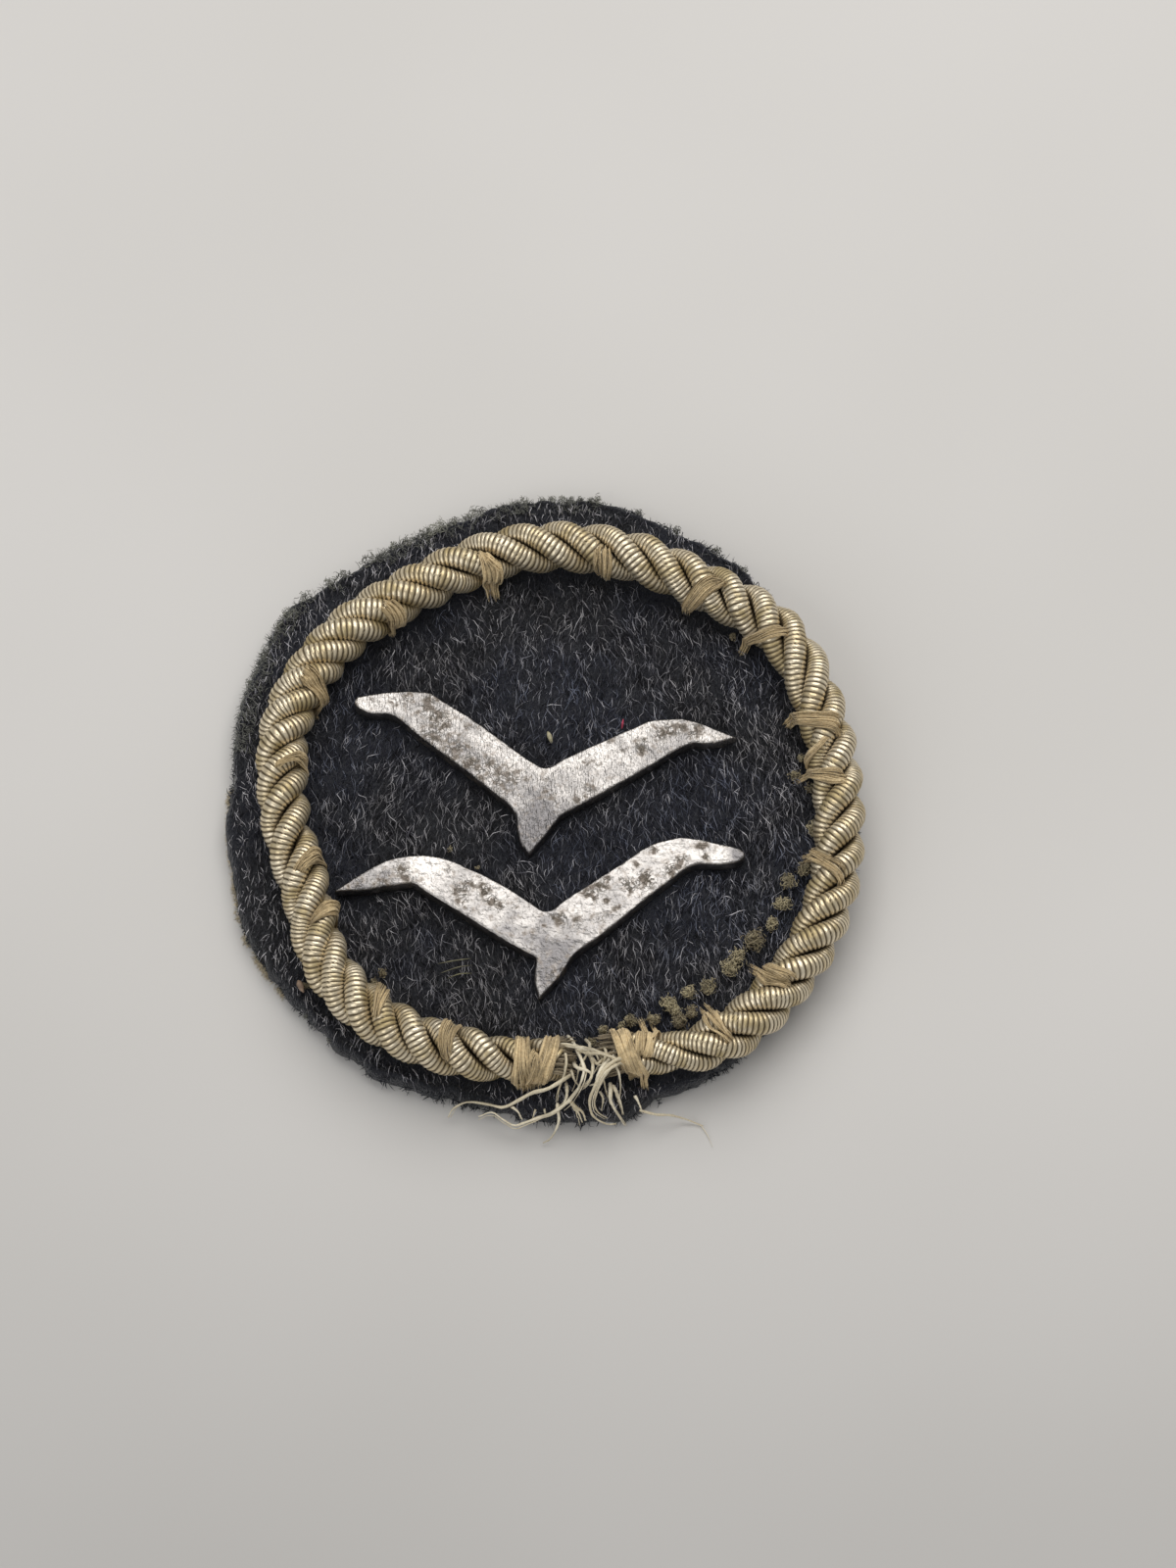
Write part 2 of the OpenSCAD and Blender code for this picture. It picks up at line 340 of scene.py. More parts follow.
wool, tree, shader = new_finish(
    "wool_felt", Roughness=0.95, Specular_IOR_Level=0.15, Sheen_Weight=0.25, Sheen_Roughness=0.5
)
wool_dark = blended(tree, patches(tree, 7.0), (0.0065, 0.007, 0.009), (0.009, 0.0105, 0.018))
wool_dark = blended(tree, patches(tree, 0.35, 4.0, 3.0, 0.45, 0.75), wool_dark, (0.03, 0.032, 0.038))
dress(tree, shader, wool_dark, (patches(tree, 0.28, 4.0, 2.5, 0.3, 0.7), 0.8, 0.12))
felt_ground = make_piece(
    "felt_ground", np.concatenate([felt_points, middles]), [felt_quads, top_fan, back_fan], wool, "wool_felt"
)
HOLLOW_PROFILE = [(-0.25, -1), (3.1, -1), (3.1, 0.45), (0.25, 0.45), (0.25, 3), (-0.25, 3)]
hollows = [extruded(node, root, HOLLOW_PROFILE, 0.8) for node in GULL_PLACES for root in PRONG_PLACES]
cutter = make_piece("hollows", *joined(hollows), wool, "wool_felt")
cut = felt_ground.modifiers.new("hollows", "BOOLEAN")
cut.object = cutter
cut_mesh = bpy.data.meshes.new_from_object(felt_ground.evaluated_get(bpy.context.evaluated_depsgraph_get()))
felt_ground.modifiers.clear()
felt_ground.data = cut_mesh
bpy.data.objects.remove(cutter)
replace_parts(felt_ground, "felt")


# The nap of the felt. These are the ends of the wool that stand out of it, dark with paler hairs between
# them, a millimetre or two long, and brushed mostly up and down the patch. They lie round the gulls and
# reach a little way under the cord from both sides.
RING_RADII = [
    19.2, 19.4, 20.1, 19.5, 19.8, 19.9, 19.5, 20.1, 20.3,
    19.4, 18.9, 20.3, 20.2, 19.3, 18.8, 20.6, 20.4, 19.8,
]
ROOTS_OFF_RING, TIPS_OFF_RING = 1.55, 0.9
NAP_SUNK = 0.28


def spun(paths, widths, sides):
    """The points and faces of closed round threads along paths (thread, point, xyz), with a width at each
    point of each thread."""
    count, steps = paths.shape[:2]
    heading = np.gradient(paths, axis=1)
    heading /= np.linalg.norm(heading, axis=2, keepdims=True) + 1e-9
    side = np.cross(heading[:, 0], (0.0, 0.0, 1.0))
    upright = np.linalg.norm(side, axis=1) < 0.1
    side[upright] = np.cross(heading[upright, 0], (1.0, 0.0, 0.0))
    sides_out = np.zeros_like(paths)
    for step in range(steps):
        side = side - heading[:, step] * np.sum(side * heading[:, step], axis=1, keepdims=True)
        side /= np.linalg.norm(side, axis=1, keepdims=True) + 1e-9
        sides_out[:, step] = side
    third = np.cross(heading, sides_out)
    turn = (np.arange(sides) * 2 * np.pi / sides)[:, None]
    rim = sides_out[:, :, None] * np.cos(turn) + third[:, :, None] * np.sin(turn)
    points = paths[:, :, None] + rim * (widths[:, :, None, None] / 2)
    index = np.arange(count * steps * sides).reshape(count, steps, sides)
    turned = np.roll(index, -1, axis=2)
    quads = np.stack([index[:, :-1], turned[:, :-1], turned[:, 1:], index[:, 1:]], -1).reshape(-1, 4)
    return points.reshape(-1, 3), [quads, index[:, 0, ::-1], index[:, -1]]


def thread_piece(name, runs, sides, material, slot="sewing_thread"):
    """One piece from several (paths, widths, tones) of threads or hairs, each with one tone all along it."""
    points, faces = joined([spun(paths, widths, sides) for paths, widths, tones in runs])
    tones = [np.repeat(tones, paths.shape[1] * sides) for paths, widths, tones in runs]
    return make_piece(name, points, faces, material, slot, tone=np.concatenate(tones))


def marked(tree, name):
    """The value that a piece's points carry under a name."""
    return add_node(tree, "Attribute", attribute_name=name).outputs["Fac"]


def times(share, colour):
    """A colour made darker or paler."""
    return tuple(share * c for c in colour)


def gull_outline(node):
    """The corners of a gull's plate in millimetres, in order, read from its CAD solid below the top edge."""
    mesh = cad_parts[node].data
    shoulder = 2.65
    ring = {v.index for v in mesh.vertices if abs(v.co.z / MM - shoulder) < 0.02}
    place = {i: tuple(round(c / MM, 3) for c in mesh.vertices[i].co[:2]) for i in ring}
    links = {}
    for edge in mesh.edges:
        a, b = edge.vertices
        if a in ring and b in ring and place[a] != place[b]:
            links.setdefault(place[a], set()).add(place[b])
            links.setdefault(place[b], set()).add(place[a])
    start = min(links)
    corners = [start]
    following = min(links[start])
    while following != start:
        corners.append(following)
        following = next(p for p in links[following] if p != corners[-2])
    return np.array(corners)


def within(points, outline):
    """Which of the points lie inside a closed outline, both seen from above."""
    inside = np.zeros(len(points), bool)
    x, y = points[:, 0], points[:, 1]
    for (ax, ay), (bx, by) in zip(outline, np.roll(outline, -1, axis=0)):
        if ay != by:
            crosses = ((ay > y) != (by > y)) & (x < ax + (y - ay) / (by - ay) * (bx - ax))
            inside ^= crosses
    return inside


outlines = {node: gull_outline(node) for node in ("gull_upper", "gull_lower")}


def ring_places(points):
    """Each point's angle round the ring and its distance from the ring's middle."""
    x, y = points[..., 0] - RING_CENTRE[0], points[..., 1] - RING_CENTRE[1]
    return np.degrees(np.arctan2(y, x)), np.hypot(x, y)


def combed_hairs(rng, count, longest, lift, width, straight):
    """Paths and widths of hairs all over the felt that lie mostly along Y, and curl the less, the more
    straight they are. None of them starts under the middle of the cord or reaches into a gull."""
    roots = np.zeros((count * 2, 3))
    angles = rng.uniform(0, 360, count * 2)
    reach = around(FELT_EDGE, angles) - 0.1
    roots[:, :2] = on_ring(angles, reach * np.sqrt(rng.uniform(0, 1, count * 2)), reach * 0)[:, :2]
    angle, far = ring_places(roots)
    roots = roots[np.abs(far - around(RING_RADII, angle)) > ROOTS_OFF_RING][:count]
    n = len(roots)
    swirl = 30 * lumps(roots, 1.7, 21) + 16 * lumps(roots, 6.5, 22)
    heading = np.radians(92 + 180 * rng.integers(0, 2, n) + (swirl + rng.normal(0, 20, n)) * (1.4 - straight))
    angle, far = ring_places(roots)
    length = longest * rng.uniform(0.45, 1.0, n) * np.where(far > around(RING_RADII, angle), 0.7, 1.0)
    sway = rng.normal(0, 0.42, (n, 3))
    paths = np.zeros((n, 4, 3))
    rises = np.array([0.0, 0.75, 1.0, 0.72])
    paths[:, 0] = roots
    for step in (1, 2, 3):
        turn = heading + sway[:, step - 1]
        move = np.stack([np.cos(turn), np.sin(turn), 0 * turn], -1) * (length / 3)[:, None]
        paths[:, step] = paths[:, step - 1] + move
    tall = lift * rng.uniform(0.25, 1.0, n) ** 1.5
    paths[:, :, 2] = FELT_THICK - NAP_SUNK + tall[:, None] * rises + rng.normal(0, 0.03, (n, 4)) * (rises > 0)
    angle, far = ring_places(paths)
    edge = around(FELT_EDGE, angle)
    paths[:, :, 2] -= np.clip(far - edge + 0.5, 0, 1) * 0.6
    keep = (far < edge + 0.35).all(axis=1)
    for outline in outlines.values():
        keep &= ~within(paths[:, 1:].reshape(-1, 3), outline).reshape(n, 3).any(axis=1)
    keep &= np.abs(far[:, 3] - around(RING_RADII, angle[:, 3])) > TIPS_OFF_RING
    paths = paths[keep]
    widths = width * rng.uniform(0.6, 1.15, (len(paths), 1)) * np.array([1.0, 0.95, 0.75, 0.25])
    return paths, widths


NAPS = {
    # how many, how long, how high, how wide, how straight, charcoal and navy of its colour, seed
    "nap_dark": (2600, 1.2, 0.5, 0.09, 0.3, (0.0125, 0.0126, 0.0155), (0.013, 0.015, 0.028), 31),
    "nap_grey": (6400, 1.5, 0.7, 0.075, 0.6, (0.043, 0.0418, 0.046), (0.028, 0.033, 0.054), 32),
    "nap_pale": (8000, 1.75, 0.85, 0.057, 0.65, (0.29, 0.28, 0.29), (0.17, 0.187, 0.25), 33),
}
for name, (count, longest, lift, width, straight, charcoal, navy, seed) in NAPS.items():
    rng = np.random.default_rng(seed)
    paths, widths = combed_hairs(rng, count, longest, lift, width, straight)
    hair, tree, shader = new_finish(name, Roughness=0.65, Specular_IOR_Level=0.35)
    hair_colour = blended(tree, patches(tree, 7.0, 3.0, 1.0, 0.42, 0.62), charcoal, navy)
    paler = stepped(tree, marked(tree, "tone"), 0.0, 1.3)
    hair_colour = blended(tree, paler, hair_colour, times(2.7, charcoal))
    shade = patches(tree, 1.0, 3.0, 1.8, 0.43, 0.62)
    hair_colour = blended(tree, shade, hair_colour, (0.22, 0.22, 0.25), "MULTIPLY")
    cloud = patches(tree, 3.2, 2.0, 1.0, 0.45, 0.65)
    dress(tree, shader, blended(tree, cloud, hair_colour, (0.55, 0.55, 0.56), "MULTIPLY"))
    angle, far = ring_places(paths[:, 0])
    outside = far > around(RING_RADII, angle)
    tones = rng.uniform(0, 1, len(paths)) ** np.where(outside, 0.5, 2.0) + 0.35 * outside
    thread_piece(name, [(paths, widths, tones)], 3, hair, "wool_felt")


# The cut edge of the felt. Short ends of wool stand out of it all round, and dust and pale fluff have
# caught in them along the upper left, the top and the left.
SHORT_FROM, SHORT_TO, SHORT_SHARE = 168, 222, 0.55


def edge_hairs(rng, count, longest, width, first, last, low, high):
    """Paths and widths of short hairs that stand in clumps out of the felt's cut edge between two angles."""
    angles = rng.uniform(first, last, count * 3)
    clump = lumps(on_ring(angles, 24.0, 0), 0.9, 24) + rng.normal(0, 0.3, count * 3)
    angles = angles[clump > 0][:count]
    count = len(angles)
    heights = rng.uniform(low, high, count)
    inward = np.clip((heights - 1.3) / 0.5, 0, 1) ** 2 * rng.uniform(0.1, 1.2, count) + 0.08
    roots = on_ring(angles, around(FELT_EDGE, angles) - inward, heights)
    turn = np.radians(angles + 45 * lumps(roots, 0.7, 25) + rng.normal(0, 30, count))
    bend = rng.normal(0, 0.4, count)
    climb = rng.normal(0.1, 0.35, count)
    length = longest * rng.uniform(0.3, 1.0, count)
    length *= np.where((angles > SHORT_FROM) & (angles < SHORT_TO), SHORT_SHARE, 1.0)
    paths = np.zeros((count, 4, 3))
    paths[:, 0] = roots
    for step in (1, 2, 3):
        heading = np.stack([np.cos(turn + bend * step), np.sin(turn + bend * step), climb - 0.12 * step], -1)
        paths[:, step] = paths[:, step - 1] + heading * (length / 3)[:, None]
    paths[:, :, 2] = np.clip(paths[:, :, 2], 0.04, 2.5)
    return paths, width * rng.uniform(0.6, 1.2, (count, 1)) * np.array([1.0, 0.9, 0.7, 0.3])


EDGE_HAIRS = {
    # how many, how long, how wide, from angle, to angle, from height, to height, colour, seed
    "edge_wool_dark": (2300, 0.55, 0.085, 0, 360, 0.1, 1.75, (0.014, 0.0155, 0.02), 41),
    "edge_wool_grey": (1300, 0.7, 0.055, 0, 360, 0.2, 1.85, (0.07, 0.073, 0.074), 42),
    "edge_dust": (1700, 0.75, 0.05, 84, 168, 1.3, 2.0, (0.125, 0.126, 0.112), 43),
    "edge_dust_low": (900, 1.05, 0.06, 174, 214, 0.04, 0.4, (0.36, 0.31, 0.22), 44),
}
for name, (count, longest, width, first, last, low, high, colour, seed) in EDGE_HAIRS.items():
    rng = np.random.default_rng(seed)
    paths, widths = edge_hairs(rng, count, longest, width, first, last, low, high)
    hair, tree, shader = new_finish(name, Roughness=0.75, Specular_IOR_Level=0.25)
    dress(tree, shader, blended(tree, marked(tree, "tone"), colour, times(2.0, colour)))
    thread_piece(name, [(paths, widths, rng.uniform(0, 1, len(paths)))], 3, hair, "wool_felt")


# The two gulls. Each is cut from sheet metal a little over a millimetre thick, and its face is worn silvery,
# with dark pits, fine scratches and rounded upper edges. Two flat prongs behind each go through the felt and
# are bent over.
PLATE_FOOT, PLATE_TOP, EDGE_ROUND = 1.85, 2.95, 0.15
TAIL_TIP, TAIL_LENGTH = (0.2, -6.4), 3.2
INSETS = (0.03, 0.07, 0.12, 0.2)
OUTLINE_STEP, INNER_CELL, INNER_CLEAR = 0.13, 0.125, 0.28
KEEN_TURN, POINT_TURN = 20, 130
fine_cracks, crack_in, crack_out = new_group(
    "fine_cracks", {"Size": 1.0, "Width": 0.1, "Wander": 1.0}, ["Mask"]
)
spot = add_node(fine_cracks, "TexCoord").outputs["Object"]
crack_scale = combined(fine_cracks, "DIVIDE", 1000.0, crack_in.outputs["Size"])
drift = add_node(fine_cracks, "TexNoise", {"Vector": spot, "Scale": crack_scale, "Detail": 2.0}).outputs[1]
drift = add_node(fine_cracks, "VectorMath", {0: drift, 1: (0.5, 0.5, 0.5)}, operation="SUBTRACT").outputs[0]
drift_size = combined(fine_cracks, "DIVIDE", crack_in.outputs["Wander"], crack_scale)
drift = add_node(fine_cracks, "VectorMath", {0: drift, "Scale": drift_size}, operation="SCALE").outputs[0]
spot = add_node(fine_cracks, "VectorMath", {0: spot, 1: drift}, operation="ADD").outputs[0]
crack_cells = add_node(
    fine_cracks, "TexVoronoi", {"Vector": spot, "Scale": crack_scale}, feature="DISTANCE_TO_EDGE"
).outputs["Distance"]
crack_mask = stepped(fine_cracks, crack_cells, 0.0, crack_in.outputs["Width"], 1.0, 0.0)
fine_cracks.links.new(crack_mask, crack_out.inputs["Mask"])


def cracks(tree, size, width, wander):
    """A net of fine wandering lines about size millimetres apart, as a value from 0 to 1."""
    values = {"Size": size, "Width": width, "Wander": wander}
    return add_node(tree, "Group", values, node_tree=fine_cracks).outputs["Mask"]


def fine_outline(corners):
    """A gull's outline in short steps, smooth but for its keen corners."""
    before, after = corners - np.roll(corners, 1, axis=0), np.roll(corners, -1, axis=0) - corners
    across = before[:, 0] * after[:, 1] - before[:, 1] * after[:, 0]
    turn = np.abs(np.degrees(np.arctan2(across, np.sum(before * after, axis=1))))
    keen = turn > KEEN_TURN
    count = len(corners)
    fine = []
    for i in range(count):
        a, b, c, d = corners[i - 1], corners[i], corners[(i + 1) % count], corners[(i + 2) % count]
        span = np.linalg.norm(c - b)
        leave = (c - b) if keen[i] else (c - a) * span / (span + np.linalg.norm(b - a))
        arrive = (c - b) if keen[(i + 1) % count] else (d - b) * span / (span + np.linalg.norm(d - c))
        for t in np.arange(0, 1, 1 / max(1, round(span / OUTLINE_STEP))):
            blend = 3 * t * t - 2 * t**3
            bow = leave * (t - 2 * t * t + t**3)
            fine.append(b * (1 - blend) + c * blend + bow + arrive * (t**3 - t * t))
    fine = np.array(fine)
    pointed = corners[turn > POINT_TURN]
    for _ in range(2):
        eased = fine * 0.5 + (np.roll(fine, 1, axis=0) + np.roll(fine, -1, axis=0)) * 0.25
        keep = np.linalg.norm(fine[:, None] - pointed[None], axis=2).min(axis=1) < 0.01
        fine = np.where(keep[:, None], fine, eased)
    return fine


def from_edge(points, edge):
    """How far each point is from a finely stepped outline."""
    parts = np.array_split(points, 20)
    squares = [((part[:, None] - edge[None]) ** 2).sum(-1).min(axis=1) for part in parts]
    return np.sqrt(np.concatenate(squares))


def filled(points, count, facing, nearness):
    """A flat filling of the outline that the first count points make, through the other points, as (points,
    triangles). Facing is 1 where it is seen from above and -1 from below."""
    loop = [(i, (i + 1) % count) for i in range(count)]
    made = delaunay_2d_cdt([Vector(p) for p in points], loop, [list(range(count))], 1, nearness)
    flat = np.array([tuple(p) for p in made[0]])
    tris = np.array([f for f in made[2] if len(f) == 3])
    a, b, c = flat[tris[:, 0]], flat[tris[:, 1]], flat[tris[:, 2]]
    turn = (b[:, 0] - a[:, 0]) * (c[:, 1] - a[:, 1]) - (b[:, 1] - a[:, 1]) * (c[:, 0] - a[:, 0])
    wrong = turn * facing < 0
    tris[wrong] = tris[wrong][:, ::-1]
    return flat, tris


def at_height(spots, height):
    """Spots seen from above, as points at a height."""
    return np.column_stack([spots, np.broadcast_to(height, len(spots))])


PRONG_PROFILE = [
    (-0.15, 2.0), (-0.15, 0.45), (-0.13, 0.24), (-0.06, 0.11), (0.08, 0.05), (0.3, 0.05), (2.85, 0.05),
    (2.98, 0.1), (3.0, 0.3), (2.9, 0.35), (0.4, 0.35), (0.24, 0.38), (0.16, 0.5), (0.15, 0.8), (0.15, 2.0),
]
PRONG_HALF = 0.7
WORN_CORNERS = {"gull_upper": [(-1.66, -3.75)]}


def gull_plate(node, corners, seed, tail):
    """The points and faces of a gull's plate, with rounded upper edges, dents and a tail that dips."""
    for corner in WORN_CORNERS.get(node, ()):
        aside = np.linalg.norm(corners + np.roll(corners, -1, axis=0) - 2 * np.array(corner), axis=1)
        corners = np.insert(corners, aside.argmin() + 1, corner, axis=0)
    edge = fine_outline(corners)
    flat = at_height(edge, 0)
    out = np.roll(edge, 1, axis=0) - np.roll(edge, -1, axis=0)
    out = np.stack([-out[:, 1], out[:, 0]], -1) / (np.linalg.norm(out, axis=1, keepdims=True) + 1e-9)
    if within(edge + out * 0.02, edge).mean() > 0.5:
        out = -out
    edge = edge + out * (0.03 * lumps(flat, 1.4, seed) + 0.016 * lumps(flat, 0.4, seed + 1))[:, None]
    inner = [edge - out * d for d in INSETS]
    inner = [ring[from_edge(ring, edge) > d * 0.93] for ring, d in zip(inner, INSETS)]
    low, high = edge.min(axis=0), edge.max(axis=0)
    rows = np.arange(low[1], high[1], INNER_CELL * 0.866)
    lines = np.arange(low[0], high[0], INNER_CELL)
    mesh_x = lines[None, :] + (np.arange(len(rows)) % 2 * INNER_CELL / 2)[:, None]
    field = np.stack([mesh_x, np.broadcast_to(rows[:, None], mesh_x.shape)], -1).reshape(-1, 2)
    field = field[within(field, edge)]
    field = field[from_edge(field, edge) > INNER_CLEAR]
    count = len(edge)
    top, tris = filled(np.concatenate([edge, *inner, field]), count, 1, 1e-5)
    gap = np.clip(from_edge(top, edge), 0, EDGE_ROUND)
    gap[:count] = 0
    flat = at_height(top, 0)
    worn = 1 - gap / EDGE_ROUND
    height = PLATE_TOP - 0.02 - EDGE_ROUND * (1 - np.sqrt(np.clip(1 - worn**2, 0, 1))) * 0.9
    dents = 0.022 * lumps(flat, 2.6, seed + 2) + 0.013 * lumps(flat, 0.8, seed + 3)
    height += dents + 0.006 * lumps(flat, 0.3, seed + 4)
    dip = np.clip((tail[1] + TAIL_LENGTH - top[:, 1]) / TAIL_LENGTH, 0, 1)
    height -= 0.16 * dip**1.5
    points = [at_height(top, height)]
    walls = []
    above = np.arange(count)
    for drop, spread in ((0.78, 0.01), (0.35, 0.02), (0.0, 0.0)):
        spread = spread + 0.012 * lumps(at_height(edge, drop), 0.5, seed + 5)
        points.append(at_height(edge + out * spread[:, None], PLATE_FOOT + drop))
        below = np.arange(count) + sum(len(p) for p in points[:-1])
        walls.append(np.stack([above, below, np.roll(below, -1), np.roll(above, -1)], -1))
        above = below
    if np.sum(edge[:, 0] * np.roll(edge[:, 1], -1) - np.roll(edge[:, 0], -1) * edge[:, 1]) < 0:
        walls = [wall[:, ::-1] for wall in walls]
    foot_tris = filled(points[-1][:, :2], count, -1, 1e-6)[1]
    return np.concatenate(points), [tris, *walls, foot_tris + above[0]]


def soft_spots(node, points, spots):
    """How strongly each of some (x, y, radius, strength) spots on a gull marks each point."""
    strengths = []
    for x, y, radius, strength in spots:
        apart = ((points[:, :2] - on_gull(node, (x, y))) ** 2).sum(1)
        strengths.append(strength * np.exp(-apart / radius**2))
    return np.array(strengths)


GULLS = {
    # node: (slot, seed, stretch of the scratches, size and depth of the stains, the stains and then
    # the polished or dull parts, with painted highlights, a painted glint and painted shade where the metal
    # catches or misses the light, each as (x, y, radius, strength) from the gull's place in millimetres)
    "gull_upper": ("gull_metal_upper", 51, 4.0, 0.5, 0.5, [
        (-7.9, 3.2, 0.9, 0.95), (-7.3, 2.8, 0.6, 0.9), (-8.5, 4.7, 0.7, 0.8), (-10.2, 4.5, 0.5, 0.7),
        (-11.1, 4.1, 0.4, 0.6), (-5.7, 2.7, 0.4, 0.6), (-8.8, 3.8, 0.7, 0.75), (-6.8, 0.1, 0.7, 0.8),
        (-5.3, 0.0, 0.8, 0.85), (-3.9, 0.0, 0.7, 0.8), (-4.4, -0.7, 0.7, 0.85), (-2.2, -0.9, 0.7, 0.75),
        (-2.9, -1.9, 0.5, 0.7), (-8.2, 1.9, 1.1, 0.7), (-6.5, 1.0, 1.1, 0.7), (-3.0, -1.0, 1.2, 0.65),
        (-1.3, -0.8, 0.4, 0.5), (0.1, -0.9, 0.4, 0.5), (0.4, -1.8, 0.5, 0.5), (2.3, -2.2, 0.4, 0.7),
        (3.3, -1.3, 0.6, 0.6), (1.1, -2.8, 0.4, 0.5), (6.5, 2.2, 0.5, 0.95), (6.7, 2.8, 0.3, 0.8),
        (7.8, 3.4, 0.7, 0.8), (8.4, 3.8, 0.7, 0.9), (9.2, 4.1, 0.6, 0.7), (10.1, 3.9, 0.6, 0.85),
        (10.5, 4.2, 0.4, 0.8), (11.7, 3.6, 0.5, 0.5), (2.8, 0.7, 0.3, 0.7), (3.6, 0.7, 0.3, 0.6),
        (5.2, 1.9, 0.3, 0.6), (4.2, 2.6, 0.3, 0.6)], [
        (-13.1, 3.9, 1.1, 0.5), (-11.4, 4.7, 0.7, 0.35), (-6.6, 3.8, 1.0, 0.35), (-4.1, 2.3, 1.1, 0.3),
        (-2.0, 0.6, 1.1, 0.3), (0.1, -0.1, 0.7, 0.3), (-3.2, 1.1, 1.2, 0.1), (-5.4, -0.2, 2.0, -0.08),
        (-0.3, -4.8, 2.0, -0.6), (-0.1, -2.9, 1.5, -0.2), (1.8, 0.5, 1.1, 0.3), (3.6, 2.0, 1.1, 0.45),
        (5.6, 3.7, 1.1, 0.5), (7.9, 4.3, 1.0, 0.35), (11.5, 3.4, 1.1, 0.4), (4.7, 0.2, 1.5, 0.2)]),
    "gull_lower": ("gull_metal_lower", 61, 0.22, 0.6, 0.75, [
        (-11.1, 3.2, 0.9, 0.6), (-9.8, 4.1, 0.8, 0.65), (-9.4, 3.4, 0.5, 0.6), (-12.9, 3.2, 0.8, 0.5),
        (-5.8, 2.2, 0.7, 0.9), (-5.3, 2.7, 0.4, 0.8), (-4.2, 2.0, 0.6, 0.95), (-3.8, 1.2, 0.5, 0.95),
        (-3.3, 0.7, 0.4, 0.9), (-5.8, 1.4, 0.5, 0.7), (-4.5, 2.9, 0.3, 0.6), (-6.5, 3.8, 0.3, 0.6),
        (-2.2, 0.5, 0.4, 0.5), (-1.1, 0.9, 0.3, 0.7), (-0.4, -1.1, 0.3, 0.6), (0.3, -0.4, 0.3, 0.9),
        (0.9, -0.6, 0.5, 0.95), (1.9, -0.9, 0.6, 0.55), (3.6, -0.8, 0.5, 0.6), (-1.3, -1.5, 0.4, 0.4),
        (3.1, 1.0, 0.6, 1.0), (3.8, 1.5, 0.5, 1.0), (4.3, 1.9, 0.4, 0.9), (5.3, 1.9, 0.3, 0.6),
        (5.8, 1.4, 0.6, 1.0), (7.0, 1.7, 0.8, 1.0), (6.4, 0.9, 0.4, 0.8), (8.8, 2.3, 0.6, 1.0),
        (9.6, 2.9, 0.5, 1.0), (7.8, 3.9, 0.4, 0.8), (11.2, 3.9, 0.4, 1.0), (11.3, 3.1, 0.3, 1.0),
        (6.5, 2.9, 0.3, 0.6), (4.2, -0.6, 0.3, 0.7), (4.7, -0.2, 0.3, 0.7), (4.1, 0.4, 0.3, 0.6),
        (8.0, 1.1, 0.3, 0.5), (0.7, -4.4, 0.4, 0.9), (-0.1, -4.7, 0.5, 0.6)], [
        (-7.9, 3.9, 1.3, 0.5), (-8.8, 4.6, 1.0, 0.3), (-3.4, 2.2, 1.7, 0.3), (-6.5, 0.3, 1.7, 0.1),
        (-3.4, -1.7, 1.5, -0.15), (0.1, -2.3, 1.7, -0.22), (0.1, -4.0, 1.5, -0.4), (-1.0, -6.0, 1.0, -0.3),
        (-0.2, -5.7, 0.2, 1.2), (2.5, 0.3, 1.5, 0.2), (6.4, 2.1, 1.7, 0.2), (9.4, 3.7, 1.5, 0.35),
        (12.4, 3.2, 1.2, 0.35), (13.8, 2.9, 0.7, -1.3), (-13.7, 3.2, 1.5, -0.4), (-11.9, 3.7, 1.5, -0.25)]),
}
